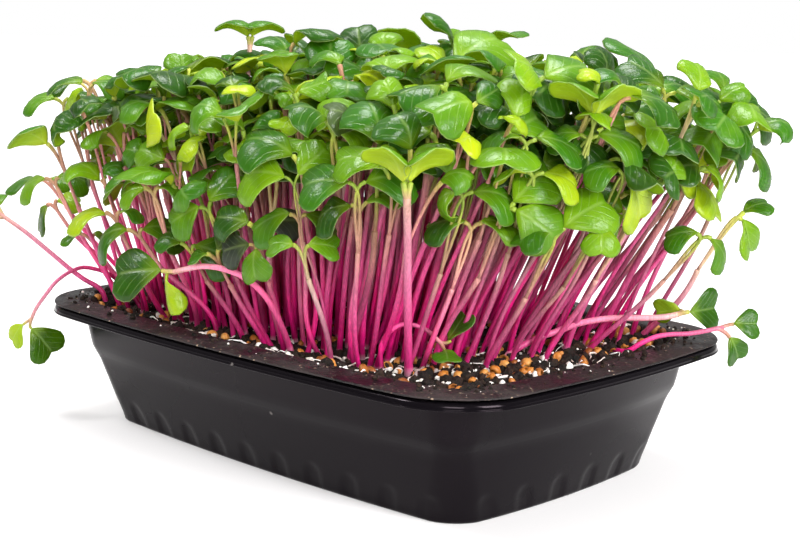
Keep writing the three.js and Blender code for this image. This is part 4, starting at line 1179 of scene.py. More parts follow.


# ---------------------------------------------------------------- the crop


# Seedlings at the front, the ends and the top of the crop: root, crown, how far the fork lies
# under the crown, how pale the stem is, and the seed leaves as laid_leaves takes them.
HEROES = [
    ((50, -28), (75, -29, 82.5), 22, 0.1, [
        [43, 50, 62, 1.15, 0.1, 0.9, 0.8, 0.42], [20, -25, 62, 1.1, 0.1, 0.9, 0.7, 0.38]]),
    ((45, -33), (67, -37, 86), 24, 0.2, [
        [43, 5, 38, 1.1, 0.1, 0.9, 1.0, 0.32], [223, -8, -34, 1.0, 0.0, 1.4, 2.5, 0.4]]),
    ((47, -29), (66, -32, 77.5), 20, 0.3, [
        [223, 10, -25, 0.95, 0.1, 0.9, 1.0, 0.05], [43, 8, 20, 0.95, 0.2, 1.2, 0.8, 0.4]]),
    ((36, -42), (49.6, -58, 88), 20, 0.1, [
        [223, 8, -50, 1.1, 0.15, 0.7, 0.8, 0.2], [43, 18, 50, 1.1, 0.15, 0.7, 0.8, 0.22]]),
    ((24, -43), (26, -58, 87), 18, 0.1, [
        [218, 15, -48, 1.25, 0.1, 0.9, 1.1, 0.5], [50, 50, 60, 0.95, 0.1, 0.9, 0.8, 0.42]]),
    ((20, -41), (23.7, -54, 77.1), 16, 0.2, [
        [223, -8, -28, 1.05, 0.1, 0.9, 0.9, 0.3], [43, -8, 28, 0.9, 0.1, 0.9, 0.9, 0.2]]),
    ((32, -40), (42.8, -50, 81.2), 18, 0.1, [
        [223, -5, -38, 1.0, 0.1, 0.9, 1.0, 0.02], [43, 35, 20, 0.8, 0.1, 0.9, 0.9, 0.3]]),
    ((8, -44), (11.5, -58, 73), 14, 0.0, [
        [223, 20, -55, 0.95, 0.1, 1.1, 1.1, 0.05], [43, 18, 50, 0.9, 0.1, 1.1, 1.0, -0.75]]),
    ((11, -43), (12, -58, 68), 12, 0.0, [
        [223, -10, -60, 0.8, 0.1, 0.9, 0.8, -0.6], [300, -55, 30, 0.8, 0.3, 0.9, 0.6, 0.35]]),
    ((28, -45), (31.5, -60, 70), 10, 0.9, [
        [223, 12, -40, 0.62, 0.3, 0.7, 0.8, 0.35], [43, 8, 45, 0.68, 0.5, 0.7, 0.8, 0.35]]),
    ((58, -16), (84, -20, 76.5), 22, 0.2, [
        [43, 42, 62, 1.2, 0.1, 0.8, 0.8, 0.45], [250, 10, -20, 0.9, 0.2, 1.0, 1.2, 0.2]]),
    ((63, 4), (91, 2, 80), 22, 0.3, [
        [223, 28, -60, 0.95, 0.1, 0.8, 0.9, 0.2], [223, -25, -60, 0.95, 0.1, 0.8, 0.7, 0.35]]),
    ((61, 0), (92, -3, 91.4), 24, 0.3, [
        [70, -58, 60, 1.2, 0.4, 0.7, 0.5, 0.72], [250, 20, -30, 0.9, 0.1, 0.9, 1.2, 0.3]]),
    ((60, -7), (90, -10, 78.5), 22, 0.2, [
        [313, -30, 0, 0.74, 0.1, 0.9, 0.9, 0.5], [133, 30, 0, 1.0, 0.1, 0.9, 1.2, 0.3]]),
    ((56, -13), (88, -11.8, 104.2), 30, 0.5, [
        [248, 74, 14, 1.15, 0.2, 0.9, 1.1, 0.42], [16, 74, -14, 1.1, 0.2, 0.9, 1.15, 0.38]]),
    ((55, -10), (86, -11, 100.5), 30, 0.4, [
        [43, 4, 30, 1.2, 0.1, 0.9, 1.0, 0.3], [223, 12, -30, 0.8, 0.1, 0.9, 1.0, 0.3]]),
    ((48, -24), (73.5, -30, 95), 24, 0.2, [
        [313, 32, 0, 1.25, 0.1, 0.8, 1.3, 0.45], [133, 35, 0, 1.0, 0.1, 0.8, 1.2, 0.3]]),
    ((52, -22), (78, -26, 99.6), 26, 0.2, [
        [43, 5, 25, 1.1, 0.3, 0.9, 1.0, 0.25], [223, 20, -10, 1.0, 0.1, 0.9, 1.3, 0.3]]),
    ((54, -20), (80, -25, 91.5), 24, 0.2, [
        [43, -4, 30, 0.95, 0.2, 0.9, 0.9, 0.7], [223, 10, 20, 0.8, 0.2, 0.9, 1.0, 0.5]]),
    ((4, -44), (-6.8, -60, 76.5), 16, 0.0, [
        [43, 62, 60, 0.95, 0.1, 0.8, 0.8, 0.3], [223, -22, -62, 0.92, 0.1, 0.8, 0.7, 0.4]]),
    ((-22, -44), (-39.7, -60, 66), 14, 0.0, [
        [223, -2, -25, 1.2, 0.1, 0.9, 1.4, 0.12], [43, 14, 32, 1.15, 0.1, 0.9, 1.0, 0.12]]),
    ((-9, -44), (-15.1, -60, 64.6), 12, 0.0, [
        [223, 25, -50, 0.65, 0.1, 0.9, 0.9, 0.1], [25, -8, 55, 1.05, 0.1, 0.8, 0.8, 0.1]]),
    ((2, -44.5), (-3.3, -60, 63.5), 10, 0.0, [
        [43, 62, 62, 0.6, 0.7, 0.5, 0.4, -0.3], [230, 0, -20, 0.5, 0.2, 0.5, 0.8, 0.2]]),
    ((-48, -42), (-50.4, -60, 69.7), 14, 0.1, [
        [223, 4, -15, 1.05, 0.1, 0.9, 0.8, 0.7], [43, 20, 10, 0.7, 0.1, 0.9, 1.2, 0.3]]),
    ((-66, -38), (-77.6, -50, 59.3), 10, 0.0, [
        [223, 0, -20, 0.6, 0.2, 0.9, 0.8, 0.3], [43, 0, 20, 0.5, 0.2, 0.9, 0.8, 0.3]]),
    ((-32, -43), (-31.5, -60, 79), 18, 0.3, [
        [223, -4, -32, 0.75, 0.1, 0.9, 0.8, 0.5], [43, 20, 20, 0.7, 0.1, 0.9, 1.2, 0.3]]),
    ((-72, -40), (-94.1, -52, 75.6), 16, 0.1, [
        [223, -8, -25, 0.95, 0.1, 0.9, 1.0, 0.5], [43, 10, 28, 0.9, 0.1, 0.9, 1.0, 0.2]]),
    ((-76, -36), (-104, -46, 66.5), 12, 0.0, [
        [223, -58, -30, 0.85, 0.3, 0.7, 0.6, 0.05], [43, 18, 40, 0.7, 0.1, 0.9, 0.9, 0.6]]),
    ((-74, -30), (-113, -42, 73), 12, 0.0, [
        [223, 0, -10, 0.95, 0.1, 0.8, 0.6, 0.1], [43, 0, 20, 0.6, 0.1, 0.8, 0.8, 0.3]]),
    ((66, 44), (92, 54, 75.5), 20, 0.8, [
        [43, -62, 45, 0.9, 0.6, 0.7, 0.5, 0.5], [43, 40, 30, 0.7, 0.3, 0.9, 0.8, 0.2]]),
    ((63, 46), (91, 50, 107), 26, 0.2, [
        [43, -10, 30, 1.15, 0.1, 0.9, 1.0, 0.08], [223, 30, -20, 1.0, 0.1, 0.9, 1.4, 0.3]]),
    ((65, 36), (92, 38, 105), 24, 0.3, [
        [30, -20, 30, 1.15, 0.1, 0.9, 1.0, 0.15], [200, 35, -30, 1.0, 0.1, 0.9, 1.4, 0.5]]),
    ((66, 48), (93, 52, 95), 22, 0.3, [
        [43, -25, 30, 1.1, 0.1, 0.9, 1.0, 0.2], [250, 20, -20, 1.0, 0.1, 0.9, 1.2, 0.5]]),
    ((64, 22), (98, 27.4, 72.9), 18, 0.3, [
        [43, -40, 30, 0.85, 0.1, 0.9, 0.8, 0.3], [223, 10, -30, 0.8, 0.1, 0.9, 1.0, 0.15]]),
    ((4.8, -27.8), (3.6, -24, 109.5), 20, 0.2, [
        [134, 72, 0, 1.15, 0.35, 0.9, 0.6, 0.22], [314, 10, 0, 0.8, 0.1, 0.9, 1.2, 0.4]]),
    ((41.1, -4.4), (40.7, -15, 116.4), 22, 0.3, [
        [62, 42, 45, 1.5, 0.1, 0.9, 0.8, 0.45], [223, 20, -30, 0.9, 0.1, 0.9, 1.3, 0.3]]),
    ((57, 4.2), (89, 19, 111), 26, 0.3, [
        [43, 5, 25, 1.3, 0.1, 0.9, 1.0, 0.22], [215, 52, -30, 1.1, 0.2, 0.9, 0.8, 0.08]]),
    ((-72, -34.2), (-94, -48, 100.5), 22, 0.2, [
        [223, 12, -25, 0.95, 0.1, 0.9, 1.0, 0.3], [43, 20, 25, 0.9, 0.1, 0.9, 1.2, 0.15]]),
    ((-61.7, -40.1), (-80, -48, 105.5), 24, 0.3, [
        [200, 25, -10, 1.05, 0.1, 0.9, 1.1, 0.12], [30, 20, 15, 1.0, 0.1, 0.9, 1.2, 0.3]]),
    ((-78.9, -20.4), (-96, -36, 106), 24, 0.2, [
        [223, 10, -20, 1.0, 0.1, 0.9, 1.0, 0.08], [43, 15, 20, 1.0, 0.1, 0.9, 1.2, 0.35]]),
]


def seed_places(rng):
    """Where the seedlings root: a hexagonal grid with every point shaken, thinned at the edge.
    The crop reaches further right towards its back corner."""
    pitch = look().crop.spacing / MM
    rows = np.arange(-CROP_HALF_WIDTH + 1.5, CROP_HALF_WIDTH + 2.5, pitch * 0.866)
    columns = np.arange(CROP_LEFT + 1.5, CROP_RIGHT + CROP_BACK_REACH, pitch)
    y, x = np.meshgrid(rows, columns, indexing="ij")
    x = x + (np.arange(len(rows)) % 2)[:, None] * pitch / 2
    places = np.stack([x.ravel(), y.ravel()], -1) + rng.normal(0, SEED_SHAKE, (x.size, 2))
    reach = CROP_RIGHT + CROP_BACK_REACH * smooth_step(-32, 30, places[:, 1])
    beyond = smooth_step(CROP_RIGHT - 4, reach + 1e-3, places[:, 0])
    kept = (places[:, 0] < reach) & (rng.random(len(places)) > 0.55 * beyond)
    kept &= (places[:, 0] - places[:, 1] < BARE_CORNER) | (rng.random(len(places)) < 0.25)
    planted = np.array([hero[0] for hero in HEROES])
    kept &= np.linalg.norm(places[:, None] - planted, axis=-1).min(-1) > ROOM_ROUND_ROOT
    share = np.abs(crop_share(places)) / (1.3, 1)
    edge = np.maximum(np.abs(crop_share(places))[:, 1], -crop_share(places)[:, 0]) > 0.94
    return places[kept & ((share**5).sum(-1) < 1.3) & ~(edge & (rng.random(len(places)) < 0.15))]


def crop_share(places):
    """Where a place lies in the crop: -1 to 1 from left to right and from front to back."""
    middle = np.array([(CROP_LEFT + CROP_RIGHT) / 2, 0])
    return (places[:, :2] - middle) / ((CROP_RIGHT - CROP_LEFT) / 2, CROP_HALF_WIDTH)


def lean_of(share):
    """How far the top of a seedling leans out: by a power of its share of the way to the edge of
    the crop, and less again beyond the right edge."""
    u, v = share.T
    beyond = np.clip(u - 1, 0, None)
    right = LEAN_RIGHT * np.minimum(np.abs(u), 1) ** 1.6 - LEAN_LESS_BEYOND * beyond
    x = np.where(u > 0, right, -LEAN_LEFT * np.abs(u) ** 1.8)
    return np.stack([x, np.sign(v) * LEAN_SIDES * np.abs(v) ** 1.6], -1)


def canopy_height(share):
    """Height of the highest seedlings' crowns: a low dome that climbs to the right and falls most
    along the right part of the front."""
    u, v = np.clip(share.T, -1.1, 1.1)
    side = np.where(v > 0, CANOPY_FALL_BACK,
                    CANOPY_FALL_BACK + (CANOPY_FALL_FRONT - CANOPY_FALL_BACK)
                    * smooth_step(-1.0, -0.4, u))
    return (CANOPY_TOP + CANOPY_CLIMB * smooth_step(-0.3, 0.7, u)
            - CANOPY_FALL_ENDS * np.abs(u) ** 2.4 - side * np.abs(v) ** 2.4)


SPREAD_ROUNDS = 60
SPREAD_PUSH, SPREAD_PULL = 0.22, 0.05


def spread_leaves(centre, radius, fixed):
    """Pushes leaves apart in rounds: where two middles are nearer than their radii, with height
    counted one and a half times, each gives way by a share of the overlap, and a weak spring
    pulls it back to where it was."""
    start = centre.copy()
    weight = np.array([1, 1, 1.5])
    for _ in range(SPREAD_ROUNDS):
        apart = (centre[:, None] - centre[None]) * weight
        gap = np.linalg.norm(apart, axis=-1) + 1e-6
        wanted = radius[:, None] + radius[None]
        push = np.clip(wanted - gap, 0, None) / gap
        np.fill_diagonal(push, 0)
        move = (apart / weight * push[..., None]).sum(1) * SPREAD_PUSH
        move += (start - centre) * SPREAD_PULL
        centre = centre + np.where(fixed[:, None], 0, np.clip(move, -1.5, 1.5))
    return centre


def leaf_middle(leaf):
    """Roughly the middle of each arched blade."""
    turned = leaf["curl"][:, None] * 0.3
    way = unit(leaf["forward"]) * np.cos(turned) - unit(leaf["normal"]) * np.sin(turned)
    return leaf["base"] + way * leaf["length"][:, None] * 0.5


def laid_leaves(places, rows):
    """Blades that start at places, from rows of heading, pitch and turn about their length in
    degrees, size, fold, roll, curl and tone; a tone under nothing is a purple stain."""
    heading, pitch, turn = np.radians([row[:3] for row in rows]).T
    size, fold, roll, curl, tone = np.array([row[3:] for row in rows], float).T
    forward = np.stack([np.cos(heading) * np.cos(pitch), np.sin(heading) * np.cos(pitch),
                        np.sin(pitch)], -1)
    left = np.stack([-np.sin(heading), np.cos(heading), 0 * heading], -1)
    upright = np.cross(forward, left)
    each = np.arange(len(rows))
    return {"base": np.array(places, float), "forward": forward,
            "normal": upright * np.cos(turn)[:, None] - left * np.sin(turn)[:, None],
            "length": look().crop.leaf_length / MM * size,
            "width": look().crop.leaf_width / MM * size, "fold": fold, "roll": roll,
            "curl": curl, "bias": 0.5 + 0 * curl, "twist": 0.15 * np.cos(each * 2.1),
            "ripple_a": 0.35 * np.sin(each * 1.7), "ripple_b": 0.45 * np.cos(each * 1.3),
            "tone": np.clip(tone, 0, 1), "purple": np.clip(-tone, 0, 1)}


def lone_leaves(names):
    """Blades of the named seedlings that stand apart."""
    rows = [row for name in names for row in LONERS[name]["leaves"]]
    leaf = laid_leaves([row[0] for row in rows], [row[1:] for row in rows])
    leaf["base"] = leaf["base"] + (0, 0, ROOT_Z)
    return leaf


def random_crowns(rng, roots):
    """Crowns of random seedlings, their lean, how far they hang back under the canopy and how far
    the fork lies under each. They hang back by powers of random shares, more to the right, at
    the rim and at both ends, and a shorter one leans less."""
    count = len(roots)
    share = crop_share(roots)
    rim = np.clip(np.abs(share).max(-1), 0, 1)
    depth = CANOPY_DEPTH + DEPTH_MORE_RIGHT * smooth_step(0, 0.8, share[:, 0])
    drop = depth * rng.random(count) ** 1.2
    drop += DEPTH_MORE_RIM * smooth_step(0.7, 1.0, rim) * rng.random(count) ** 1.8
    ends = smooth_step(0.6, 1.0, np.abs(share[:, 0]))
    drop += DEPTH_MORE_ENDS * ends * rng.random(count) ** 2.4
    top = canopy_height(share) - drop
    shorter = (top - ROOT_Z) / (canopy_height(share) - ROOT_Z)
    out = lean_of(share) * (0.3 + 0.7 * shorter[:, None])
    out = out + rng.normal(0, CROWN_SHAKE, (count, 2))
    depth = rng.uniform(*FORK_DEPTH, count) * (0.5 + 0.5 * shorter)
    return np.column_stack([roots + out, top]), out, drop, depth


def random_blades(rng, roots, crown, out, drop):
    """Blades of random seedlings: two to each, opposite each other across a random line. They turn
    round an axis that follows the stem and, at the edge of the crop, leans outwards the more the
    lower the seedling is, so that the blades there hang."""
    crop = look().crop
    count = len(crown)
    share = crop_share(roots)
    rim = np.clip(np.abs(share).max(-1), 0, 1)
    outward = unit(np.column_stack([out + share * 6, np.zeros(count)]))
    tilt = unit(np.column_stack([out * 0.9, crown[:, 2] - ROOT_Z]))
    hanging = smooth_step(0.62, 1.0, rim) * (0.3 + 0.5 * np.clip(drop / CANOPY_DEPTH, 0, 1))
    axis = unit(tilt + outward * hanging[:, None] * 0.75 + rng.normal(0, 0.12, (count, 3)))
    heading = rng.uniform(0, 2 * np.pi, count)
    leaf = {"forward": [], "normal": [], "base": [], "curl": []}
    for side in (0, 1):
        angle = heading + side * np.pi + rng.normal(0, 0.25, count)
        flat = np.stack([np.cos(angle), np.sin(angle), np.zeros(count)], -1)
        flat = unit(flat - (flat * axis).sum(-1, keepdims=True) * axis)
        pitch = np.clip(rng.normal(0.85, 0.38, count), 0.1, 1.45)[:, None]
        forward = flat * np.cos(pitch) + axis * np.sin(pitch)
        normal = axis * np.cos(pitch) - flat * np.sin(pitch)
        sideways = np.cross(forward, normal) * rng.normal(0, 0.22, (count, 1))
        leaf["forward"].append(forward)
        leaf["normal"].append(normal + sideways)
        leaf["base"].append(crown + flat * rng.uniform(0.5, 2.4, (count, 1)))
        leaf["curl"].append(np.clip(pitch[:, 0] + rng.normal(0.6, 0.42, count), 0.3, 2.8))
    leaf = {key: np.concatenate(value) for key, value in leaf.items()}
    number = 2 * count
    size = np.clip(rng.normal(0.97, 0.2, number), 0.55, 1.45)
    leaf["length"] = crop.leaf_length / MM * size
    leaf["width"] = crop.leaf_width / MM * size * rng.uniform(0.88, 1.12, number)
    leaf["fold"] = np.clip(rng.normal(0.14, 0.2, number), -0.2, 0.8)
    leaf["roll"] = np.clip(rng.normal(1.0, 0.42, number), 0.1, 1.9)
    leaf["bias"] = rng.uniform(0.35, 0.68, number)
    leaf["twist"] = rng.normal(0, 0.3, number)
    leaf["ripple_a"] = rng.normal(0, 0.35, number)
    leaf["ripple_b"] = rng.normal(0, 0.45, number)
    leaf["tone"] = np.clip(rng.normal(0.3, 0.28, number), 0.0, 0.8)
    leaf["purple"] = np.where(rng.random(number) < 0.015, 0.7, 0.0)
    return leaf


def make_room(leaf, fixed):
    """Where blades start once they are pushed apart, round the fixed ones and round the highest
    leaves of the lone seedlings."""
    middle = leaf_middle(leaf)
    lone = lone_leaves(("tall_middle", "big_front"))
    around = np.concatenate([middle, leaf_middle(lone)])
    radius = np.concatenate([leaf["length"] * 0.42, lone["length"] * 0.6])
    fixed = np.concatenate([fixed, np.ones(len(lone["length"]), bool)])
    moved = spread_leaves(around, radius, fixed)
    return leaf["base"] + moved[: len(middle)] - middle


def random_stems(rng, foot, fork):
    """Stems that leave the root nearly upright and lean out as they climb: cubic curves, swayed
    by half a wave, a little thicker at both ends."""
    count = len(foot)
    t = np.linspace(0, 1, STEM_RINGS)
    steep = [0, 0, 1] * (fork[:, 2:] - foot[:, 2:])
    way = (fork - foot) * 0.6 + steep * 0.4 + rng.normal(0, 5.0, (count, 3)) * (1, 1, 0)
    path = hermite(foot, way, fork, (fork - foot) * 1.05, t)
    sway = np.sin(t * np.pi)[:, None] * rng.normal(0, 1.1, (count, 1, 3)) * (1, 1, 0)
    thick = look().crop.stem_radius / MM * np.clip(rng.normal(1, 0.16, count), 0.6, 1.4)
    profile = (1.0 - 0.14 * t + 0.12 * np.exp(-((t / 0.05) ** 2))
               + 0.14 * np.exp(-(((t - 0.985) / 0.02) ** 2)))
    tone = 0.32 + 0.3 * crop_share(foot)[:, 0] + rng.normal(0, 0.26, count)
    return {"path": path + sway, "thick": thick, "radii": thick[:, None] * profile,
            "tone": np.clip(tone, 0, 1), "pale": np.where(rng.random(count) < 0.1, 0.85, 0.0)}


def leaf_stalks(stem, fork, tilt, leaf):
    """Stalks that leave the fork along the stem, part, and reach each blade along its midrib."""
    plant = leaf["plant"]
    t = np.linspace(0, 1, STALK_RINGS)
    begin, end = fork[plant], leaf["base"]
    reach = np.linalg.norm(end - begin, axis=-1, keepdims=True)
    leave = unit(tilt[plant] + 0.25 * unit(end - begin)) * reach * 0.9
    arrive = unit(leaf["forward"]) * reach * 0.7
    profile = 0.66 - 0.1 * np.sin(t * np.pi) + 0.22 * t**4
    return {"path": hermite(begin, leave, end + leaf["forward"] * 0.6, arrive, t),
            "radii": stem["thick"][plant][:, None] * profile, "tone": stem["tone"][plant],
            "pale": stem["pale"][plant]}


def grow_crop(rng):
    """Arrays for the whole crop: the places, stems, leaf stalks and blades of every seedling. The
    random ones come first, then the listed ones, for whose leaves the others make room."""
    roots = seed_places(rng)
    crown, out, drop, depth = random_crowns(rng, roots)
    leaf = random_blades(rng, roots, crown, out, drop)
    hand_roots, hand_crowns, hand_depths, hand_pale, hand_leaves = zip(*HEROES)
    owner = np.repeat(np.arange(len(HEROES)), [len(leaves) for leaves in hand_leaves])
    placed = laid_leaves([hand_crowns[i] for i in owner], sum(hand_leaves, []))
    placed["base"] = placed["base"] + placed["forward"] * (1.6, 1.6, 0.8)
    fixed = np.arange(len(leaf["base"]) + len(owner)) >= len(leaf["base"])
    leaf = {key: np.concatenate([leaf[key], placed[key]]) for key in placed}
    leaf["plant"] = np.concatenate([np.tile(np.arange(len(roots)), 2), len(roots) + owner])
    leaf["base"] = make_room(leaf, fixed)

    roots = np.concatenate([roots, hand_roots])
    crown = np.concatenate([crown, hand_crowns])
    depth = np.concatenate([depth, hand_depths])
    foot = np.column_stack([roots, bed_height(*roots.T) - 0.6])
    tilt = unit((crown - foot) * (0.9, 0.9, 1))
    fork = crown - tilt * depth[:, None]
    stem = random_stems(rng, foot, fork)
    stem["pale"][-len(HEROES):] = hand_pale
    return roots, stem, leaf_stalks(stem, fork, tilt, leaf), leaf


def crop():
    """Makes the stems and the leaves of each patch of the crop as two pieces."""
    rng = np.random.default_rng(look().crop.seed)
    roots, stem, stalk, leaf = grow_crop(rng)
    share = (crop_share(roots) + 1) / 2
    column = np.clip((share[:, 0] * COLUMNS).astype(int), 0, COLUMNS - 1)
    row = np.clip((share[:, 1] * ROWS).astype(int), 0, ROWS - 1)
    for r, c in itertools.product(range(ROWS), range(COLUMNS)):
        mine = (row == r) & (column == c)
        ours = mine[leaf["plant"]]
        node = f"sprouts_{r + 1}_{c + 1}"
        make_stems(f"stems_{r + 1}_{c + 1}", {k: v[mine] for k, v in stem.items()},
                   {k: v[ours] for k, v in stalk.items()}, [node])
        make_leaves(f"leaves_{r + 1}_{c + 1}", {k: v[ours] for k, v in leaf.items()},
                    [node])


# ---------------------------------------------------------------- seedlings that stand apart

# Each has a stem through given points, heights over the medium, and two seed leaves: their
# place, and the rest as laid_leaves takes it.
LONERS = {
    "arched_front": {
        "radius": 0.92, "pale": 0.6, "tone": 0.0,
        "path": [[12.6, -45.2, 0], [11.8, -48.6, 8.5], [10.1, -53, 17], [6.1, -57, 22.2],
                 [-0.3, -60, 24.3], [-7, -61.6, 24.2], [-13.3, -62.5, 22.6], [-18.1, -63, 21.2]],
        "leaves": [[[-20.4, -64.6, 21.4], 226, 2, -62, 1.2, 0.25, 0.7, 0.7, 0.02],
                   [[-19.0, -64.2, 21.4], 300, -74, 60, 1.0, 0.3, 2.3, 0.4, 0.7]],
    },
    "small_arch": {
        "radius": 0.72, "pale": 0.0, "tone": 0.3,
        "path": [[43, -41, 0], [42.4, -40, 8], [45, -36, 12.5], [49, -31, 11.5], [53, -28, 7.5]],
        "leaves": [[[54.4, -26.6, 8], 75, 60, 0, 0.72, 0.4, 0.3, 0.3, 0.1],
                   [[54.8, -28.8, 6], 320, 0, 0, 0.55, 0.3, 0.5, 0.5, 0.3]],
    },
    "lying_front": {
        "radius": 1.0, "pale": 0.75, "tone": 0.0,
        "path": [[53, -1.5, 0], [56.5, 6, 4], [60.8, 13.7, 6.8], [65.2, 18.6, 9.1],
                 [71, 24.6, 10.5], [77.6, 30.7, 10.8], [82.1, 34.5, 11.3], [84.6, 37.6, 12.1]],
        "leaves": [[[87, 38.2, 13], 62, 4, 78, 0.85, 0.55, 0.5, 0.5, 0.06],
                   [[83.4, 41, 12.4], 192, 0, 65, 0.62, 0.3, 0.5, 0.5, 0.15]],
    },
    "lying_right": {
        "radius": 0.8, "pale": 0.0, "tone": 0.15,
        "path": [[69.7, 26.9, 0], [73.2, 24, 1.5], [76.8, 24.4, 1.9], [79.6, 26.4, 4.2],
                 [82.2, 29.4, 6.1], [85, 32.8, 6.9], [89.3, 37.7, 7.3], [94.8, 45.2, 8.9]],
        "leaves": [[[96.4, 47.2, 9.8], 43, 4, 58, 0.62, 0.4, 0.4, 0.5, 0.12],
                   [[96.6, 45.4, 6.6], 43, -58, 58, 0.66, 0.4, 0.4, 0.5, 0.1]],
    },
    "leaning_left": {
        "radius": 0.85, "pale": 0.3, "tone": 0.5,
        "path": [[-77.6, -43, 0], [-79, -44.3, 5.2], [-83.5, -47.4, 8.2], [-88, -50.2, 11.6],
                 [-94.5, -52.5, 15.9], [-105.5, -55, 21.8], [-118, -56.5, 26.4]],
        "leaves": [[[-118.6, -58.8, 24.6], 238, -28, 0, 0.75, 0.4, 0.5, 0.5, 0.3],
                   [[-120.2, -55.4, 28.2], 172, 30, 0, 0.75, 0.4, 0.5, 0.5, 0.3]],
    },
    "hanging_left": {
        "radius": 0.68, "pale": 0.35, "tone": 0.4,
        "path": [[-77.2, -33, 0], [-81, -38, 8.4], [-84, -45.6, 11.8], [-83.4, -52, 11.6],
                 [-82.2, -58.6, 9.2], [-83, -62, 5.4], [-86.2, -63.8, 0.4],
                 [-88.4, -64.2, -3.4]],
        "leaves": [[[-89.8, -66, -4.8], 223, -48, -58, 0.62, 0.35, 0.6, 0.6, 0.7],
                   [[-87.4, -65.4, -5.6], 43, -46, 58, 0.92, 0.3, 0.5, 0.5, 0.05]],
    },
    "tall_middle": {
        "radius": 0.9, "pale": 0.7, "tone": 0.3,
        "path": [[-36, -24, 0], [-35, -23.5, 45], [-33, -22, 84.2]],
        "leaves": [[[-32.6, -21.6, 86.2], 6, 66, -20, 0.98, 0.1, 0.8, 1.6, 0.3],
                   [[-33.4, -22.4, 86.2], 260, 66, 20, 0.98, 0.1, 0.8, 1.6, 0.3]],
    },
    "big_front": {
        "radius": 1.15, "pale": 0.45, "tone": 0.7,
        "path": [[50.4, -38, 0], [54.5, -43.5, 20], [59.5, -49.5, 38], [64.5, -55.5, 50]],
        "leaves": [[[65.2, -55.2, 53.4], 22, 79, -24, 1.1, 0.1, 0.8, 1.15, 0.38],
                   [[64.2, -56.4, 53.4], 244, 79, 24, 1.1, 0.1, 0.8, 1.15, 0.42]],
    },
}


LONE_RINGS = 28


def smooth_path(points, count):
    """A smooth curve through points: each stretch is a cubic whose ends follow the line between
    the neighbouring points."""
    knots = np.array(points, float)
    way = np.gradient(knots, axis=0)
    pieces = []
    spans = len(knots) - 1
    for i in range(spans):
        t = np.linspace(0, 1, count // spans + 1)[: None if i == spans - 1 else -1]
        pieces.append(hermite(knots[i : i + 1], way[i : i + 1], knots[i + 1 : i + 2],
                              way[i + 1 : i + 2], t)[0])
    return np.concatenate(pieces)


def lone_seedlings():
    """Each lone seedling is a stem piece with its two short stalks and a piece for each leaf."""
    for name, plant in LONERS.items():
        path = smooth_path(plant["path"], LONE_RINGS) + (0, 0, ROOT_Z)
        path[0, 2] -= 1.0
        t = np.linspace(0, 1, len(path))
        radii = plant["radius"] * (1 - 0.14 * t + 0.15 * np.exp(-((t / 0.05) ** 2)))
        tip_way = unit(path[-1] - path[-3])
        leaf = lone_leaves([name])
        base, forward = leaf["base"], leaf["forward"]
        start = np.repeat(path[-2:-1], 2, 0)
        reach = np.linalg.norm(base - start, axis=-1, keepdims=True)
        t = np.linspace(0, 1, STALK_RINGS)
        stalk_path = hermite(start, tip_way * reach, base + forward * 0.5, forward * reach, t)
        stem = {"path": path[None], "radii": radii[None], "tone": np.array([plant["tone"]]),
                "pale": np.array([plant["pale"]])}
        stalk = {"path": stalk_path, "radii": np.tile(plant["radius"] * (0.8 - 0.1 * t), (2, 1)),
                 "tone": np.repeat(plant["tone"], 2), "pale": np.repeat(plant["pale"], 2)}
        node = f"{name}_stem"
        make_stems(node, stem, stalk, [node])
        for i in (0, 1):
            node = f"{name}_leaf_{i + 1}"
            make_leaves(node, {k: v[i : i + 1] for k, v in leaf.items()}, [node])


def root_threads():
    """White roots that lie over the medium near the stems: tubes that wander across it, half
    sunk, and taper to nothing."""
    rng = np.random.default_rng(21)
    count, rings, sides = 150, 14, 5
    start = bed_places(rng, count, 0.75)
    heading = rng.uniform(0, 2 * np.pi, (count, 1)) + np.cumsum(
        rng.normal(0, 0.42, (count, rings)), axis=1)
    step = rng.uniform(0.35, 0.85, (count, 1))
    x = start[:, :1] + np.cumsum(np.cos(heading) * step, 1)
    y = start[:, 1:] + np.cumsum(np.sin(heading) * step, 1)
    hump = np.sin(np.linspace(0, np.pi, rings)) * rng.uniform(0, 1.1, (count, 1))
    path = np.stack([x, y, bed_height(x, y) + 0.1 + hump], -1)
    taper = 1 - 0.75 * np.linspace(0, 1, rings) ** 2
    radii = rng.uniform(0.16, 0.42, (count, 1)) * taper
    points, tube = tube_points(path, radii, sides)
    size = points.shape[1]
    make_piece("root_threads", points.reshape(-1, 3), repeated(tube, count, size),
               finish_of(root_flesh), [],
               {"tone": np.repeat(rng.random(count), size)})


# ---------------------------------------------------------------- stage

# The stage, in metres.
CAMERA_PLACE = (0.31469, -0.32326, 0.13032)
CAMERA_BACK = (0.67536, -0.71780, 0.16925)  # from what the camera looks at towards the camera
CAMERA_ROLL = 1.395  # degrees
SENSOR_WIDTH = 36  # millimetres
CLIP_NEAR, CLIP_FAR = 0.01, 50
FLOOR_RADII = (0.4, 1.5, 6.0)
FLOOR_SIDES = 96
BEHIND = (-0.69, 0.72, 0)  # away from the camera
LIGHTS_AIM = (0, 0, 0.06)

# Softboxes: place, width, and power as a share of the key light's.
SOFTBOXES = {
    "softbox_overhead": ((-0.1, 0.15, 1.0), 0.42, 1.0),
    "softbox_left": ((-0.35, -0.45, 0.75), 0.2, 0.38),
    "softbox_front": ((0.75, -0.8, 0.45), 0.35, 0.5),
    "softbox_right": ((0.9, -0.1, 0.5), 0.4, 1.0),
}


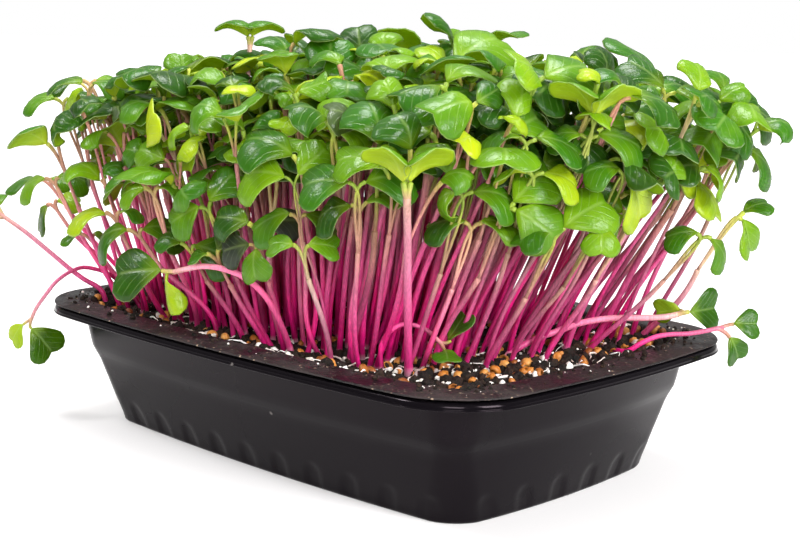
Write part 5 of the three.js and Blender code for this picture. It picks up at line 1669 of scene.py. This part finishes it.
def lay_floor():
    """A round white floor: rings of points round its centre."""
    turn = np.linspace(0, 2 * np.pi, FLOOR_SIDES, endpoint=False)
    rings = np.array(FLOOR_RADII)[:, None]
    flat = np.stack([rings * np.cos(turn), rings * np.sin(turn),
                     np.zeros((len(rings), FLOOR_SIDES))], -1)
    points = np.concatenate([flat.reshape(-1, 3), [[0, 0, 0]]])
    quads = grid_faces(len(rings), FLOOR_SIDES)[:, ::-1]
    fan = fan_faces(len(points) - 1, 0, FLOOR_SIDES, True)
    mesh = bpy.data.meshes.new("floor")
    mesh.from_pydata(points.tolist(), [], quads.tolist() + fan.tolist())
    mesh.materials.append(finish_of(studio_floor))
    floor = bpy.data.objects.new("floor", mesh)
    bpy.context.scene.collection.objects.link(floor)


def surround():
    """A white surround that lights the tray from above and from behind and looks evenly white."""
    world = bpy.data.worlds.new("white_surround")
    world.use_nodes = True
    bpy.context.scene.world = world
    tree = world.node_tree
    tree.nodes.clear()
    way = add_node(tree, "TexCoord").outputs["Generated"]
    rising = add_node(tree, "SeparateXYZ", {0: way}).outputs["Z"]
    above = add_node(tree, "MapRange", {
        "Value": rising, "From Min": 0.3, "From Max": 0.95, "To Min": 0, "To Max": 0.75})
    behind = add_node(tree, "VectorMath", {0: way, 1: BEHIND}, operation="DOT_PRODUCT")
    backdrop = add_node(tree, "MapRange", {
        "Value": behind, "From Min": -0.3, "From Max": 0.8, "To Min": 0.5, "To Max": 1.35})
    glow = add_node(tree, "Math", {0: above, 1: backdrop}, operation="ADD")
    seen = add_node(tree, "LightPath").outputs["Is Camera Ray"]
    lit = add_node(tree, "Background", {"Color": glow, "Strength": look().stage.world_strength})
    white = add_node(tree, "Background", {"Color": (1, 1, 1, 1), "Strength": 1.0})
    both = add_node(tree, "MixShader", {0: seen, 1: lit, 2: white})
    add_node(tree, "OutputWorld", {"Surface": both})


def softboxes():
    """Square area lights that face the middle of the tray."""
    for name, (place, width, share) in SOFTBOXES.items():
        data = bpy.data.lights.new(name, "AREA")
        data.size = width
        data.energy = look().stage.key_power * share
        lamp = bpy.data.objects.new(name, data)
        lamp.location = place
        facing = Vector(LIGHTS_AIM) - Vector(place)
        lamp.rotation_euler = facing.to_track_quat("-Z", "Y").to_euler()
        bpy.context.scene.collection.objects.link(lamp)


def set_camera():
    """The camera, a little rolled, and colours shown as they are."""
    camera = bpy.data.objects.new("camera", bpy.data.cameras.new("camera"))
    camera.data.lens = look().stage.lens
    camera.data.sensor_width = SENSOR_WIDTH
    camera.data.clip_start = CLIP_NEAR
    camera.data.clip_end = CLIP_FAR
    aim = (-Vector(CAMERA_BACK)).to_track_quat("-Z", "Y")
    roll = Matrix.Rotation(math.radians(CAMERA_ROLL), 4, "Z")
    camera.matrix_world = Matrix.Translation(CAMERA_PLACE) @ aim.to_matrix().to_4x4() @ roll
    bpy.context.scene.collection.objects.link(camera)
    bpy.context.scene.camera = camera
    bpy.context.scene.view_settings.view_transform = "Standard"


def studio():
    """Floor, surround, lights and camera."""
    lay_floor()
    surround()
    softboxes()
    set_camera()


# ---------------------------------------------------------------- operators and panel


class MICROGREENS_OT_outer_tray(bpy.types.Operator):
    """Make the outer tray"""

    bl_idname = "microgreens.outer_tray"
    bl_label = "Outer tray"

    def execute(self, context):
        outer_tray()
        return {"FINISHED"}


class MICROGREENS_OT_inner_tray(bpy.types.Operator):
    """Make the inner tray with its dusty flange"""

    bl_idname = "microgreens.inner_tray"
    bl_label = "Inner tray"

    def execute(self, context):
        inner_tray()
        return {"FINISHED"}


class MICROGREENS_OT_growing_medium(bpy.types.Operator):
    """Make the bed of growing medium"""

    bl_idname = "microgreens.growing_medium"
    bl_label = "Growing medium"

    def execute(self, context):
        growing_medium()
        return {"FINISHED"}


class MICROGREENS_OT_loose_bed(bpy.types.Operator):
    """Scatter crumbs and perlite over the medium"""

    bl_idname = "microgreens.loose_bed"
    bl_label = "Crumbs and perlite"

    def execute(self, context):
        loose_bed()
        return {"FINISHED"}


class MICROGREENS_OT_seed_hulls(bpy.types.Operator):
    """Scatter empty seed coats over the medium"""

    bl_idname = "microgreens.seed_hulls"
    bl_label = "Seed coats"

    def execute(self, context):
        seed_hulls()
        return {"FINISHED"}


class MICROGREENS_OT_root_threads(bpy.types.Operator):
    """Lay white roots over the medium"""

    bl_idname = "microgreens.root_threads"
    bl_label = "Roots"

    def execute(self, context):
        root_threads()
        return {"FINISHED"}


class MICROGREENS_OT_crop(bpy.types.Operator):
    """Grow the crop, patch by patch"""

    bl_idname = "microgreens.crop"
    bl_label = "Crop"

    def execute(self, context):
        crop()
        return {"FINISHED"}


class MICROGREENS_OT_lone_seedlings(bpy.types.Operator):
    """Grow the seedlings that stand apart from the crop"""

    bl_idname = "microgreens.lone_seedlings"
    bl_label = "Lone seedlings"

    def execute(self, context):
        lone_seedlings()
        return {"FINISHED"}


class MICROGREENS_OT_stage(bpy.types.Operator):
    """Set up the floor, the lights and the camera"""

    bl_idname = "microgreens.stage"
    bl_label = "Stage"

    def execute(self, context):
        studio()
        return {"FINISHED"}


OPERATORS = (
    MICROGREENS_OT_outer_tray,
    MICROGREENS_OT_inner_tray,
    MICROGREENS_OT_growing_medium,
    MICROGREENS_OT_loose_bed,
    MICROGREENS_OT_seed_hulls,
    MICROGREENS_OT_root_threads,
    MICROGREENS_OT_crop,
    MICROGREENS_OT_lone_seedlings,
    MICROGREENS_OT_stage,
)


class VIEW3D_PT_microgreens(bpy.types.Panel):
    """Settings and steps of the tray of microgreens"""

    bl_label = "Microgreens"
    bl_space_type = "VIEW_3D"
    bl_region_type = "UI"
    bl_category = "Microgreens"

    def draw(self, context):
        settings = context.scene.microgreens
        for group in (settings.tray, settings.bed, settings.crop, settings.stage):
            box = self.layout.box()
            for key in group.__annotations__:
                box.prop(group, key)
        for operator in OPERATORS:
            self.layout.operator(operator.bl_idname)


CLASSES = (TrayLook, BedLook, CropLook, StageLook, MicrogreensLook, *OPERATORS,
           VIEW3D_PT_microgreens)


def register():
    """Makes the classes and the settings known to Blender."""
    for cls in CLASSES:
        bpy.utils.register_class(cls)
    bpy.types.Scene.microgreens = PointerProperty(type=MicrogreensLook)


def unregister():
    """Takes the settings and the classes away again."""
    del bpy.types.Scene.microgreens
    for cls in reversed(CLASSES):
        bpy.utils.unregister_class(cls)


def main():
    """Makes every piece in order."""
    register()
    for step in ("stage", "outer_tray", "inner_tray", "growing_medium", "loose_bed",
                 "seed_hulls", "root_threads", "crop", "lone_seedlings"):
        getattr(bpy.ops.microgreens, step)()


if __name__ == "__main__":
    main()
